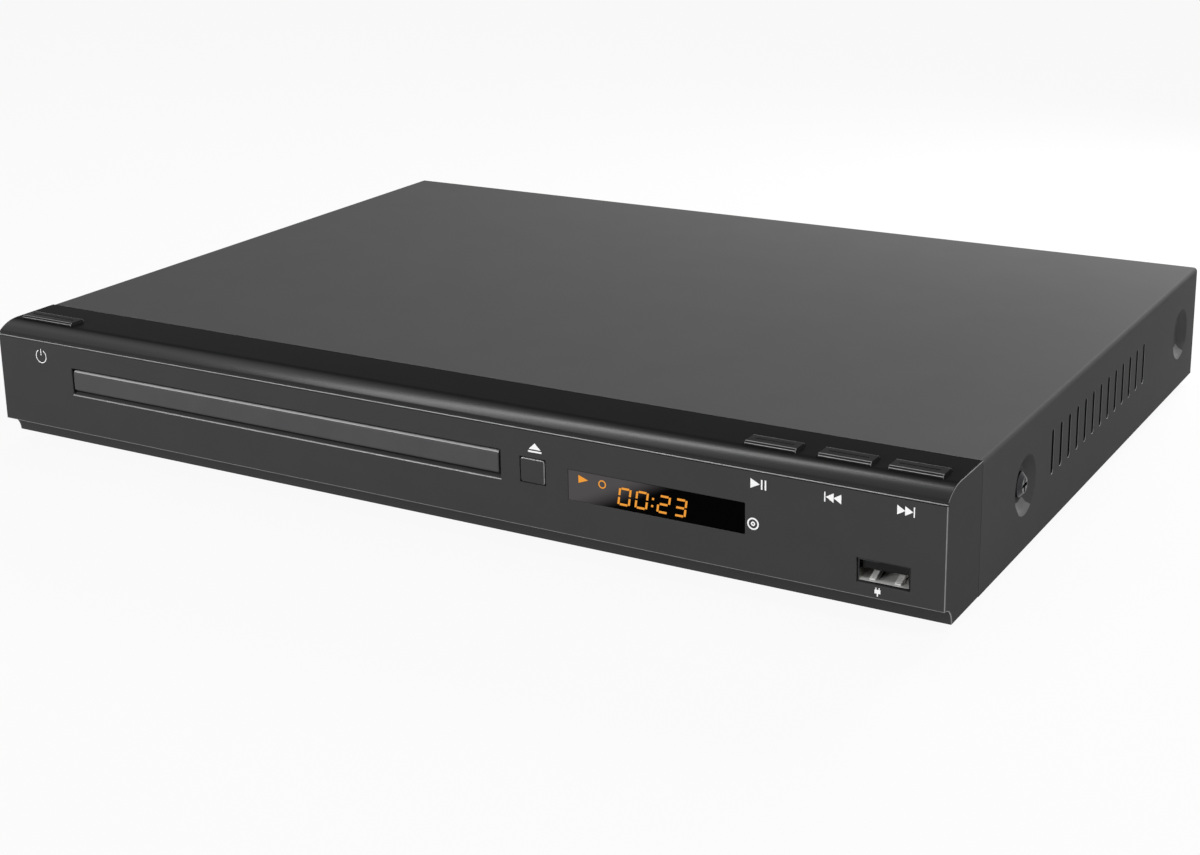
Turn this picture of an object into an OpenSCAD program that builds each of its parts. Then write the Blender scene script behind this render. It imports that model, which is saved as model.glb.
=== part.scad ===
// Slim set-top disc player with a motor-driven front tray.
// Sizes are in millimetres. The pieces are drawn with x = 0 at the middle of the case, y = 0 at its
// front face and z = 0 at its bottom edge; the last lines move them so that the whole player stands
// on z = 0, centred on the origin.

/* [Case] */
// Width of the case
body_w = 300; // [270:2:330]
// Depth of the case, front face to rear edge of the cover
body_d = 221; // [199:1:243]
// Height of the case without its feet
body_h = 35; // [35:0.5:42]
// Height of the feet
foot_h = 3; // [2:0.5:8]
// Radius of the feet
foot_r = 8.5; // [6:0.5:12]
// Distance of the feet from the side faces
foot_inset = 28; // [20:1:40]
// Thickness of the steel sheet
sheet_t = 0.8; // [0.6:0.1:1]
// Outer bend radius of the cover
bend_r = 1.2; // [1:0.1:2]

/* [Front panel] */
// Depth of the front panel, front face to the seam with the cover
panel_d = 22.7; // [20:0.1:25]
// Wall of the front panel
wall_t = 2.4; // [2:0.1:2.8]
// Radius of the cove along the bottom edge
cove_r = 5; // [3:0.5:6]
// Large radius of the rounded upper edge
brow_r = 12; // [10:0.5:13]
// Small radius where the rounding meets the face
nose_r = 2; // [1:0.5:2.5]
// Depth of the rounded upper edge, front to back
brow_d = 7.74; // [7:0.02:8]
// Width of the band along the face: a gap, a fine rib and a groove
groove_w = 0.9; // [0.8:0.1:1.2]
// Depth of the gap and the groove
groove_d = 0.6; // [0.4:0.1:1]
// Gap between the front panel and the cover
seam_gap = 0.2; // [0.1:0.1:0.5]

/* [Side vents] */
// Number of vent slots in each side
vent_count = 13; // [5:1:17]
// Distance from slot to slot
vent_pitch = 7.1; // [5:0.1:8]
// Width of a slot
vent_w = 1.8; // [1:0.1:2.5]
// Height of a slot
vent_h = 12.3; // [6:0.1:14]
// Height of the lower end of the slots
vent_z = 13.5; // [10:0.5:16]
// Distance of the first slot from the front face
vent_y = 77; // [72:1:84]
// Radius of a screw dimple at the surface
dimple_r = 8; // [7:0.5:9]
// Depth of a screw dimple
dimple_depth = 2; // [1:0.1:2.4]

/* [Keys] */
// Length of the play, previous and next keys
key_l = 13.6; // [10:0.2:15]
// Length of the power key
power_key_l = 19.6; // [14:0.2:19.6]
// Width of the top keys
key_w = 5.6; // [4:0.1:6]
// Height of the top keys above the panel
key_out = 0.9; // [0.4:0.1:1.5]
// Width of the open and close key
eject_w = 7.3; // [6:0.1:7.5]
// Height of the open and close key
eject_h = 6.6; // [5:0.1:7]
// Travel of the keys
key_travel = 0.8; // [0.4:0.1:1]
// Gap round a key in its hole
key_gap = 0.2; // [0.1:0.05:0.3]

/* [Display] */
// Width of the display window
window_w = 49.6; // [40:0.2:60]
// Height of the display window
window_h = 8; // [6:0.1:9]
// Thickness of the display window
window_t = 1.6; // [1:0.1:1.8]

/* [Disc tray] */
// Width of the tray door
door_w = 148.6; // [147.4:0.1:158]
// Height of the tray door
door_h = 6.2; // [6:0.1:6.6]
// Thickness of the tray door
door_t = 3; // [2.5:0.1:3.5]
// Gap round the tray door
door_gap = 0.6; // [0.3:0.1:0.9]
// Width of the tray
tray_w = 146; // [144:0.2:146]
// Thickness of the tray
tray_h = 5.7; // [5.5:0.1:5.7]
// Diameter of a large disc
disc_d = 120; // [118:0.5:120]
// Diameter of a small disc
small_disc_d = 80; // [78:0.5:82]
// Gap between a disc and the rim of its recess
disc_gap = 0.3; // [0.2:0.05:0.4]

/* [Loader] */
// Module of all gear teeth
gear_m = 0.8; // [0.7:0.05:0.8]
// Play between meshing teeth
gear_slack = 0.12; // [0.08:0.02:0.2]
// Pitch radius of the large pulley
pulley_r = 8.8; // [8:0.1:8.8]
// Pitch radius of the motor pulley
motor_pulley_r = 2.2; // [2:0.1:2.6]
// Thickness of the drive belt
belt_t = 1.4; // [1:0.1:1.6]
// Distance between the two pulleys
belt_span = 29.2; // [28:0.1:30]
// Radius of the loading motor
motor_r = 12; // [10:0.1:12]
// Angle by which the traverse drops
drop_deg = 4.2; // [3:0.1:4.2]
// Travel of the cam slider for that drop
cam_travel = 12; // [10:0.5:12]
// Radius of the guide rods
guide_r = 1.5; // [1.2:0.1:1.6]
// Radius of the lead screw
screw_r = 1.5; // [1.2:0.1:1.5]
// Radius of the turntable
table_r = 15.5; // [14:0.5:16]
// Radius of the hub that centres the disc
hub_r = 7.45; // [7:0.05:7.5]

/* [Rear connectors] */
// How far the audio and video jacks stand out behind the case
jack_out = 8.5; // [6:0.1:10]
// Radius of a jack's metal barrel
jack_r = 4.15; // [4:0.01:4.2]
// Distance from jack to jack
jack_pitch = 13; // [11:0.1:15]

/* [Hidden] */

$fn = 48;
eps = 0.01;            // overshoot of a cut past the face it opens
touch = 0.1;           // gap that a piece keeps from what carries it
pin_gap = 0.05;        // running fit of pins, rods and shafts, on the radius
board_t = 1.6;         // circuit boards

// heights and depths of the case
inside_top = body_h - wall_t;
inside_x = body_w / 2 - wall_t;
cover_top = body_h - sheet_t;
cover_y = panel_d + seam_gap;
plate_y = body_d - 2 * sheet_t;      // front face of the rear panel
plate_back = body_d - sheet_t;       // rear face of the rear panel
pan_x = body_w / 2 - sheet_t - dimple_depth;  // outer face of the pan's side tabs
dimple_ys = [55.6, body_d - 17];
dimple_z = 17.6;
foot_y = [36, body_d - 25];
pan_y = cover_y + 0.2;
pan_flange_z = 4.2;

// disc loader: its width, its depth and where it stands
rear_room = 35.5;                               // between the loader and the rear edge
tray_l = body_d - rear_room - door_t - 9;       // length of the tray behind its door
tray_travel = tray_l - 38.5;                    // how far the tray slides out
frame_x = [tray_w / 2 + 3.2, tray_w / 2 + 6];   // side walls of the loader frame
frame_y = [cove_r + 2.5, door_t + tray_l + 9];
cx = -body_w / 2 + 24.7 + max(door_w / 2 + 4.7, frame_x[1]);     // middle of the tray

clip_xs = [for (d = [-48.7, -3.7, 96.3, 141.3]) cx + d];         // clips under the pan

// front panel openings
brow_z = body_h - brow_r;                         // height of the large arc's centre
nose_lift = sqrt(pow(brow_r - nose_r, 2) - pow(brow_d - nose_r, 2));
nose_z = brow_z + nose_lift;                      // top of the flat face
nose_turn = atan2(brow_d - nose_r, nose_lift);    // where the two arcs meet, from the vertical
groove_gap = 0.25;                                // gap below the rib
rib_w = 0.3;
eject_x = cx + max(door_w / 2 + 10.35, frame_x[1] + 5.65);
eject_z = 20.5;
usb_x = body_w / 2 - 15.4;
usb_z = 11.45;
usb_w = 13.1;
usb_h = 5.7;
usb_l = 14;
usb_y = 0.6;
usb_wall = 0.3;
usb_gap = 0.2;
window_x = min(eject_x + window_w / 2 + 10.65, usb_x - usb_w / 2 - window_w / 2 - 2);
window_z = 18.8;

// keys
key_y = 10;
play_x = body_w / 2 - 48.2;
previous_x = body_w / 2 - 28.8;
next_x = body_w / 2 - 10.8;
power_x = -body_w / 2 + 12.9;
flange_t = 1.05;
flange_over = 0.5;       // how far a key's flange reaches past the key
switch_gap = key_travel + 0.05;
switch_w = 6;
switch_h = 3.5;
plunger_r = 1.75;
plunger_h = 0.9;
key_flange_z = inside_top - touch - flange_t;
key_board_z = key_flange_z - switch_gap - plunger_h - switch_h - board_t;
key_board_y = [4, 18.6];
key_board_x = [body_w / 2 - 60, body_w / 2 - 3];
power_board_x = [-body_w / 2 + 3, -body_w / 2 + 22.8];
key_boss_y = 16.2;
key_bosses = [body_w / 2 - 38.4, body_w / 2 - 19.8];
front_board_y = wall_t + touch + flange_t + switch_gap + plunger_h + switch_h;
front_board_x = [cx + frame_x[1] + 1.3, usb_x - 16.6];
front_board_z = [5, 24];
front_bosses = [for (t = [0, 0.5, 1])
    [front_board_x[0] + 12 + t * (front_board_x[1] - front_board_x[0] - 20), 9]];

// tray and loader
door_z = 18;
tray_z = door_z + (door_h - tray_h) / 2;
tray_top = tray_z + tray_h;
disc_y = 69.5;                            // disc centre with the tray in
recess_z = tray_top - 2.6;                // floor of the large recess
small_recess_z = recess_z - 1.2;
disc_z = recess_z + 1.3;                  // underside of a clamped disc
spindle_slot_r = 20;
tray_shell = 2;
frame_z = 3;
frame_top = tray_top + 1;
ledge_z = tray_z - touch;
deck_z = 7.5;
deck_t = 2;
deck_top = deck_z + deck_t;
deck_back = 48.5;

// gear train: teeth, and the place of each axis
pinion_n = 10;
wheel_n = 20;
small_n = 10;
pinion_r = gear_m * pinion_n / 2;
wheel_r = gear_m * wheel_n / 2;
small_r = gear_m * small_n / 2;
pressure = 25;
addendum = 0.8 * gear_m;
dedendum = 1.05 * gear_m;
rack_x = cx + tray_w / 2 - 2.5;           // pitch line of the rack
train_y = 36.5;
tray_gear_x = rack_x - pinion_r;
pulley_x = tray_gear_x - wheel_r - small_r;
motor_x = pulley_x - belt_span;
wheel_z = 15.2;
wheel_t = 2.5;
pulley_z = 12.2;
pulley_t = 2.6;
motor_mount_z = 10.2;
motor_mount_t = 1.5;
motor_z = 1.4;
shaft_r = 1;
flange_lip = 0.6;                         // how far a pulley's rim stands past the belt's pitch line

// traverse
pivot_y = frame_y[1] - 21;
pivot_z = 11;
pivot_r = 2;
traverse_x = 38;
traverse_y = [52.5, pivot_y - 4.5];
traverse_z = 14.5;
traverse_t = 2;
skirt_t = 1.5;
skirt_z = 10.4;
sled_l = 32;
sled_y = 84.5;
opening_x = [-29, 34];
opening_y = [sled_y - 1.5, pivot_y - 11.5];      // leaves the pickup 35 mm of travel
guide_x = 24;
guide_z = 12;
screw_x = 30;
screw_z = 9.4;
sled_z = [9.4, 17.3];
lens_y = disc_y + 23;
sled_motor_y = opening_y[1] + 3.3;
spindle_r = 12;
spindle_z = 9.2;
bridge_z = frame_top;
bridge_t = 1.2;
bridge_y = [49.5, 89.5];
clamper_r = 12.5;

// cam slider and its pin
cam_y = [47, 49];
pin_x = motor_x - 35.3;
pin_z = 13.5;
pin_r = 1.5;
pin_arm = pivot_y - (cam_y[0] + cam_y[1]) / 2;
cam_drop = pin_arm * sin(drop_deg);
slot_half = pin_r + 0.3;

// boards and connectors
board_z = 5.8;
board_top = board_z + board_t;
main_x = [cx + frame_x[1] + 19.3, body_w / 2 - 8];
main_y = [100, plate_y - 1];
main_w = main_x[1] - main_x[0];
main_d = main_y[1] - main_y[0];
supply_x = [-body_w / 2 + 6, cx + 1.3];
supply_y = [frame_y[1] + 2.5, plate_y - 2];
jack_z = 16.5;
jack_x = body_w / 2 - 66;
jack_body_d = 11;
inlet_x = -body_w / 2 + 30;
inlet_z = 15;
inlet_w = 21;
inlet_h = 13;
inlet_pin_pitch = 8.6;
hdmi_x = body_w / 2 - 32;
hdmi_w = 15;
hdmi_h = 5.6;
rear_screw_xs = [-body_w / 2 + 12, 0, body_w / 2 - 12];
rear_screw_z = body_h - 4.2;

// screw holes, and the places of the frame's guides and hooks
function grid(xs, ys) = [for (x = xs, y = ys) [x, y]];
loader_ears = grid([cx - frame_x[1] - 4, cx + frame_x[1] + 4], [52, pivot_y - 4.5]);
bridge_holes = grid([cx - frame_x[1] - 1.6, cx + frame_x[1] + 1.6], [(bridge_y[0] + bridge_y[1]) / 2]);
main_holes = grid([main_x[0] + 5, main_x[1] - 5], [main_y[0] + 5, main_y[1] - 16]);
supply_holes = grid([supply_x[0] + 4, supply_x[1] - 4], [supply_y[0] + 4, supply_y[1] - 4]);
board_holes = concat(main_holes, supply_holes);
guide_ys = [[12, 24], [80, 92], [pivot_y - 14.5, pivot_y - 2.5]];
hook_xs = [[pin_x - 5.7, pin_x - 1.7], [pin_x + 4.3, pin_x + 7.8]];

panel_color = "#383838";
gloss_color = "#202020";
steel_color = "#4a4a4a";
nickel_color = "#c8c8c8";
board_color = "#2f6b3a";
loader_color = "#262626";

module box(x, y, z) {
    translate([x[0], y[0], z[0]]) cube([x[1] - x[0], y[1] - y[0], z[1] - z[0]]);
}

// upright, front-to-back and side-to-side cylinders between two places
module post(p, r, z) {
    translate([p[0], p[1], z[0]]) cylinder(r = r, h = z[1] - z[0]);
}

module bar_y(x, z, r, y) {
    translate([x, y[1], z]) rotate([90, 0, 0]) cylinder(r = r, h = y[1] - y[0]);
}

module bar_x(y, z, r, x) {
    translate([x[0], y, z]) rotate([0, 90, 0]) cylinder(r = r, h = x[1] - x[0]);
}

// an outline drawn front to back and upwards, stretched from side to side
module across(x) {
    translate([x[0], 0, 0]) rotate([90, 0, 90]) linear_extrude(x[1] - x[0]) children();
}

module both_sides() {
    children();
    mirror([1, 0, 0]) children();
}

module about_tray() {
    translate([cx, 0, 0]) children();
}

// ---- front panel ----

// side outline of the panel: flat face, compound rounding above, cove below
module panel_outline() {
    difference() {
        union() {
            square([panel_d, nose_z]);
            translate([brow_d, 0]) square([panel_d - brow_d, body_h]);
            translate([nose_r, nose_z]) circle(r = nose_r);
            intersection() {
                translate([brow_d, brow_z]) circle(r = brow_r);
                polygon([
                    [brow_d, brow_z],
                    [brow_d - 1.3 * brow_r * sin(nose_turn), brow_z + 1.3 * brow_r * cos(nose_turn)],
                    [brow_d, brow_z + 1.2 * brow_r]
                ]);
            }
        }
        circle(r = cove_r);
    }
}

// side outline of the hollow behind the panel's wall
module hollow_outline() {
    difference() {
        union() {
            translate([wall_t, wall_t]) square([panel_d, brow_z - wall_t]);
            translate([brow_d, wall_t]) square([panel_d, inside_top - wall_t]);
            intersection() {
                translate([brow_d, brow_z]) circle(r = brow_r - wall_t);
                translate([wall_t, brow_z - eps]) square([brow_d, brow_r]);
            }
        }
        circle(r = cove_r + wall_t);
    }
}

module key_hole(x, l) {
    box([x - l / 2 - key_gap, x + l / 2 + key_gap],
        [key_y - key_w / 2 - key_gap, key_y + key_w / 2 + key_gap], [inside_top - 1, body_h + 1]);
}

module panel_clip(x) {
    box([x - 5, x + 5], [panel_d - 4, cover_y + 11.6], [sheet_t + touch, wall_t]);
    box([x - 5, x + 5], [cover_y + 8.6, cover_y + 11.6], [touch, sheet_t + 2 * touch]);
}

// opening for the tray door, with a bevel along its lower edge
module door_opening() {
    door = [cx - door_w / 2 - door_gap, cx + door_w / 2 + door_gap];
    low = door_z - door_gap;
    high = door_z + door_h + door_gap;
    box(door, [-eps, wall_t + 2], [low, high]);
    across(door) polygon([[-eps, low - 0.7], [-eps, low + eps], [1.2, low + eps], [1.2, low]]);
}

module window_opening() {
    lip = 1.2;
    x = [window_x - window_w / 2, window_x + window_w / 2];
    z = [window_z - window_h / 2, window_z + window_h / 2];
    box([x[0] - touch / 2, x[1] + touch / 2], [-eps, window_t + touch],
        [z[0] - touch / 2, z[1] + touch / 2]);
    box([x[0] + lip, x[1] - lip], [-eps, wall_t + 1], [z[0] + lip, z[1] - lip]);
}

module front_panel() {
    color(panel_color) difference() {
        union() {
            difference() {
                across([-body_w / 2, body_w / 2]) panel_outline();
                across([-inside_x, inside_x]) hollow_outline();
            }
            // tongue that carries the front edge of the cover
            box([-inside_x - eps, inside_x + eps], [panel_d - 2, panel_d + 3.4],
                [inside_top, cover_top - touch]);
            // bosses of the boards
            for (p = front_bosses) bar_y(p[0], p[1], 2.6, [wall_t - 0.4, front_board_y]);
            for (x = key_bosses) post([x, key_boss_y], 2.2, [key_board_z + board_t, inside_top + 0.4]);
            post([power_x, key_boss_y], 2.2, [key_board_z + board_t, inside_top + 0.4]);
            for (x = [usb_x - 10.4, usb_x + 10.4])
                post([x, 17], 2.2, [wall_t - 0.4, usb_z - usb_h / 2 - board_t]);
            for (x = clip_xs) panel_clip(x);
        }
        // gap and groove under the rounded edge, with a fine rib between them
        for (z = [[0, groove_gap], [groove_gap + rib_w, groove_w]])
            box([-body_w / 2 - 1, body_w / 2 + 1], [-1, groove_d], [nose_z + z[0], nose_z + z[1]]);
        door_opening();
        window_opening();
        box([eject_x - eject_w / 2 - key_gap, eject_x + eject_w / 2 + key_gap], [-1, wall_t + 1],
            [eject_z - eject_h / 2 - key_gap, eject_z + eject_h / 2 + key_gap]);
        box([usb_x - usb_w / 2 - usb_gap, usb_x + usb_w / 2 + usb_gap], [-1, wall_t + 1],
            [usb_z - usb_h / 2 - usb_gap, usb_z + usb_h / 2 + usb_gap]);
        for (x = [play_x, previous_x, next_x]) key_hole(x, key_l);
        key_hole(power_x, power_key_l);
        // pilot holes of the board screws
        for (p = front_bosses) bar_y(p[0], p[1], 0.9, [wall_t + 1, front_board_y + 1]);
        for (x = concat(key_bosses, [power_x])) post([x, key_boss_y], 0.9, [key_board_z, inside_top - 1]);
        for (x = [usb_x - 10.4, usb_x + 10.4])
            post([x, 17], 1.05, [wall_t, usb_z - usb_h / 2]);
    }
}

// top key: a bevelled bar with a thin slot, and a flange that keeps it in the panel
module top_key(x, l) {
    bevel = 0.5;
    color(gloss_color) difference() {
        union() {
            translate([x - l / 2, 0, 0]) rotate([90, 0, 90]) linear_extrude(l) polygon([
                [key_y - key_w / 2, inside_top - touch - eps],
                [key_y + key_w / 2, inside_top - touch - eps],
                [key_y + key_w / 2, body_h + key_out - bevel],
                [key_y + key_w / 2 - bevel, body_h + key_out],
                [key_y - key_w / 2 + bevel, body_h + key_out],
                [key_y - key_w / 2, body_h + key_out - bevel]
            ]);
            box([x - l / 2 - flange_over, x + l / 2 + flange_over],
                [key_y - key_w / 2 - flange_over, key_y + key_w / 2 + flange_over],
                [key_flange_z, inside_top - touch]);
        }
        box([x - l / 2 + 1.6, x + l / 2 - 1.6], [key_y - 0.2, key_y + 0.3],
            [body_h + key_out - 0.5, body_h + key_out + 1]);
    }
}

module play_key() { top_key(play_x, key_l); }

module previous_key() { top_key(previous_x, key_l); }

module next_key() { top_key(next_x, key_l); }

module power_key() { top_key(power_x, power_key_l); }

module eject_key() {
    color(panel_color) {
        box([eject_x - eject_w / 2, eject_x + eject_w / 2], [0, wall_t + touch + eps],
            [eject_z - eject_h / 2, eject_z + eject_h / 2]);
        box([eject_x - eject_w / 2 - flange_over, eject_x + eject_w / 2 + flange_over],
            [wall_t + touch, wall_t + touch + flange_t],
            [eject_z - eject_h / 2 - flange_over, eject_z + eject_h / 2 + flange_over]);
    }
}

module display_window() {
    color("#101010")
        box([window_x - window_w / 2, window_x + window_w / 2], [0.1, 0.1 + window_t],
            [window_z - window_h / 2, window_z + window_h / 2]);
}

module display_module() {
    color("#1a1a1a")
        box([window_x - window_w / 2 + 1, window_x + window_w / 2 - 1], [wall_t + 0.3, front_board_y],
            [window_z - window_h / 2 - 0.6, window_z + window_h / 2 + 0.6]);
}

// ---- boards behind the front panel ----

module front_board() {
    color(board_color) difference() {
        box(front_board_x, [front_board_y, front_board_y + board_t], front_board_z);
        for (p = front_bosses) bar_y(p[0], p[1], 1.3, [front_board_y - 1, front_board_y + 3]);
    }
}

module key_switch(p) {
    translate([p[0] - switch_w / 2, p[1] - switch_w / 2, p[2]]) cube([switch_w, switch_w, switch_h]);
    post(p, plunger_r, [p[2] + switch_h - eps, p[2] + switch_h + plunger_h]);
}

module front_switches() {
    color("#2b2b2b") {
        for (x = [play_x, previous_x, next_x, power_x]) key_switch([x, key_y, key_board_z + board_t]);
        translate([eject_x, front_board_y, eject_z]) rotate([90, 0, 0]) key_switch([0, 0, 0]);
    }
}

module key_board() {
    color(board_color) difference() {
        box(key_board_x, key_board_y, [key_board_z, key_board_z + board_t]);
        for (x = key_bosses) post([x, key_boss_y], 1.3, [key_board_z - 1, key_board_z + 3]);
    }
}

module power_key_board() {
    color(board_color) difference() {
        box(power_board_x, key_board_y, [key_board_z, key_board_z + board_t]);
        post([power_x, key_boss_y], 1.3, [key_board_z - 1, key_board_z + 3]);
    }
}

module usb_board() {
    top = usb_z - usb_h / 2;
    color(board_color) difference() {
        box([usb_x - 13, usb_x + 12.6], [6, 21], [top - board_t, top]);
        for (x = [usb_x - 10.4, usb_x + 10.4]) post([x, 17], 1.3, [top - 3, top + 1]);
    }
}

// socket shell with its two sprung tabs, and the tongue inside it
module usb_socket() {
    half = usb_w / 2;
    low = usb_z - usb_h / 2;
    color(nickel_color) difference() {
        box([usb_x - half, usb_x + half], [usb_y, usb_y + usb_l], [low, low + usb_h]);
        box([usb_x - half + usb_wall, usb_x + half - usb_wall], [usb_y - 1, usb_y + usb_l - 1.5],
            [low + usb_wall, low + usb_h - usb_wall]);
    }
    color(nickel_color) for (s = [-1, 1])
        translate([usb_x + s * 3.1 - 1.1, 0, 0]) rotate([90, 0, 90]) linear_extrude(2.2) polygon([
            [usb_y + 1.6, low + usb_wall - eps],
            [usb_y + 4.6, low + usb_wall + 0.9],
            [usb_y + 6.6, low + usb_wall + 0.2],
            [usb_y + 6.6, low + usb_wall - eps]
        ]);
    color("#151515")
        box([usb_x - half + 0.7, usb_x + half - 0.7], [usb_y + 1.2, usb_y + usb_l - 1],
            [low + usb_h - 2.6, low + usb_h - 0.7]);
}

// ---- case ----

// cross-section of the cover, from the front: a sheet bent down at both sides
module cover_outline(inset) {
    r = bend_r - inset;
    half = body_w / 2 - inset;
    top = body_h - inset;
    union() {
        translate([-half, -eps * (inset > 0 ? 1 : 0)]) square([2 * half, top - r]);
        translate([-half + r, -eps]) square([2 * half - 2 * r, top + eps]);
        for (s = [-1, 1]) translate([s * (half - r), top - r]) circle(r = r);
    }
}

module along(y) {
    translate([0, y[1], 0]) rotate([90, 0, 0]) linear_extrude(y[1] - y[0]) children();
}

module vent_slot(y) {
    x = [body_w / 2 - 2, body_w / 2 + 1];
    r = vent_w / 2;
    box(x, [y - r, y + r], [vent_z + r, vent_z + vent_h - r]);
    for (z = [vent_z + r, vent_z + vent_h - r]) bar_x(y, z, r, x);
}

// pressed cone round a screw: the sheet's outer face, or with an inset its inner face
module dimple(y, inset) {
    translate([body_w / 2 - inset, y, dimple_z]) rotate([0, -90, 0])
        cylinder(r1 = dimple_r, r2 = dimple_r - 3, h = dimple_depth);
}

module top_cover() {
    y = [cover_y, body_d];
    color(steel_color) difference() {
        union() {
            difference() {
                along(y) cover_outline(0);
                along([y[0] - 1, y[1] + 1]) cover_outline(sheet_t);
            }
            both_sides() for (d = dimple_ys) dimple(d, sheet_t);
            // lip over the rear panel
            box([-body_w / 2 + 2, body_w / 2 - 2], [plate_back, body_d],
                [body_h - 7, cover_top + eps]);
        }
        both_sides() {
            for (d = dimple_ys) dimple(d, 0);
            bar_x(dimple_ys[0], dimple_z, 1.7, [body_w / 2 - 4, body_w / 2]);
            for (i = [0:vent_count - 1]) vent_slot(vent_y + i * vent_pitch);
        }
        for (x = rear_screw_xs) bar_y(x, rear_screw_z, 1.7, [plate_back - 1, body_d + 1]);
    }
}

module pan_standoff(p, r, top) {
    post(p, r, [sheet_t - eps, top]);
}

module bottom_pan() {
    y = [pan_y, plate_back];
    color(steel_color) difference() {
        union() {
            box([-body_w / 2 + sheet_t + 0.2, body_w / 2 - sheet_t - 0.2], y, [0, sheet_t]);
            both_sides() {
                box([pan_x - sheet_t, pan_x], [y[0], plate_y - 1], [0, 6]);
                for (d = dimple_ys) box([pan_x - sheet_t, pan_x], [d - 10, min(d + 10, plate_y - 1)],
                    [0, dimple_z + 8]);
            }
            box([-pan_x, pan_x], [y[0], y[0] + sheet_t], [0, pan_flange_z]);
            for (p = loader_ears) pan_standoff(p, 3.4, frame_z);
            for (p = board_holes) pan_standoff(p, 3, board_z);
        }
        for (x = clip_xs) {
            box([x - 5.3, x + 5.3], [y[0] - 1, y[0] + 2], [sheet_t + eps, 3]);
            box([x - 5.3, x + 5.3], [cover_y + 8.3, cover_y + 11.9], [-1, sheet_t + 1]);
        }
        both_sides() bar_x(dimple_ys[0], dimple_z, 1.3, [pan_x - 2, pan_x + 1]);
        for (p = loader_ears) post(p, 1.05, [-1, frame_z + 1]);
        for (p = board_holes) post(p, 1.05, [-1, board_z + 1]);
        // air slots under the boards
        for (x = [main_x[0] + 20:6:main_x[1] - 20]) box([x, x + 2.5],
            [main_y[0] + 28, main_y[0] + 68], [-1, 2]);
    }
}

module rear_panel() {
    half = pan_x - 0.6;
    color(steel_color) difference() {
        union() {
            box([-half, half], [plate_y, plate_back], [sheet_t, cover_top - touch]);
            box([-half + 8, half - 8], [plate_y - 2.4, plate_y + eps], [sheet_t, 2 * sheet_t]);
        }
        box([inlet_x - inlet_w / 2 - touch, inlet_x + inlet_w / 2 + touch], [plate_y - 1, plate_back + 1],
            [inlet_z - inlet_h / 2 - touch, inlet_z + inlet_h / 2 + touch]);
        for (i = [-1:1]) bar_y(jack_x + i * jack_pitch, jack_z, jack_r + 0.4, [plate_y - 1, plate_back + 1]);
        box([hdmi_x - hdmi_w / 2 - 0.3, hdmi_x + hdmi_w / 2 + 0.3], [plate_y - 1, plate_back + 1],
            [board_top - 0.3, board_top + hdmi_h + 0.3]);
        for (x = rear_screw_xs) bar_y(x, rear_screw_z, 1.3, [plate_y - 1, plate_back + 1]);
        // air slots
        for (i = [0:11]) box([cx - 33.7 + 7 * i, cx - 31.7 + 7 * i], [plate_y - 1, plate_back + 1],
            [10, 24]);
    }
}

module feet() {
    xs = [-body_w / 2 + foot_inset, body_w / 2 - foot_inset];
    color("#151515") for (x = xs, y = foot_y) translate([x, y, -foot_h]) rotate_extrude() polygon([
        [0, 0], [foot_r - 0.8, 0], [foot_r, 0.8], [foot_r, foot_h], [0, foot_h]
    ]);
}

// ---- screws ----

// pan-head screw with a cross recess, head down at z = 0 and shank upwards
module pan_screw(head_r, head_h, shank, l) {
    difference() {
        union() {
            rotate_extrude() polygon([
                [0, 0], [head_r * 0.62, 0], [head_r, head_h * 0.55], [head_r, head_h], [0, head_h]
            ]);
            translate([0, 0, head_h - eps]) cylinder(r = shank, h = l);
        }
        for (a = [0, 90]) rotate([0, 0, a])
            translate([-head_r * 0.55, -head_r * 0.13, -1])
                cube([head_r * 1.1, head_r * 0.26, 1 + head_h * 0.55]);
    }
}

module side_screws() {
    floor_x = body_w / 2 - dimple_depth;
    color(nickel_color) both_sides()
        translate([floor_x + 1.8, dimple_ys[0], dimple_z]) rotate([0, -90, 0])
            pan_screw(3.4, 1.8, 1.2, 4.5);
}

module rear_screws() {
    color(nickel_color) for (x = rear_screw_xs)
        translate([x, body_d + 1.6, rear_screw_z]) rotate([90, 0, 0]) pan_screw(2.8, 1.6, 1.2, 5);
}

module screw_down(p, seat, l) {
    translate([p[0], p[1], seat + 1.5]) mirror([0, 0, 1]) pan_screw(2.4, 1.5, 1, l);
}

module loader_screws() {
    color(nickel_color) {
        for (p = loader_ears) screw_down(p, frame_z + 2, 4.5);
        for (p = bridge_holes) screw_down(p, bridge_z + bridge_t, 4);
    }
}

module board_screws() {
    color(nickel_color) {
        for (p = board_holes) screw_down(p, board_top, 4);
        for (x = [usb_x - 10.4, usb_x + 10.4]) screw_down([x, 17], usb_z - usb_h / 2, 4);
        for (x = concat(key_bosses, [power_x])) translate([x, key_boss_y, key_board_z - 1.5])
            pan_screw(2, 1.5, 0.85, 4);
        for (p = front_bosses) translate([p[0], front_board_y + board_t + 1.5, p[1]]) rotate([90, 0, 0])
            pan_screw(2, 1.5, 0.85, 4);
    }
}

// ---- disc loader: frame, tray, clamp ----

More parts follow.
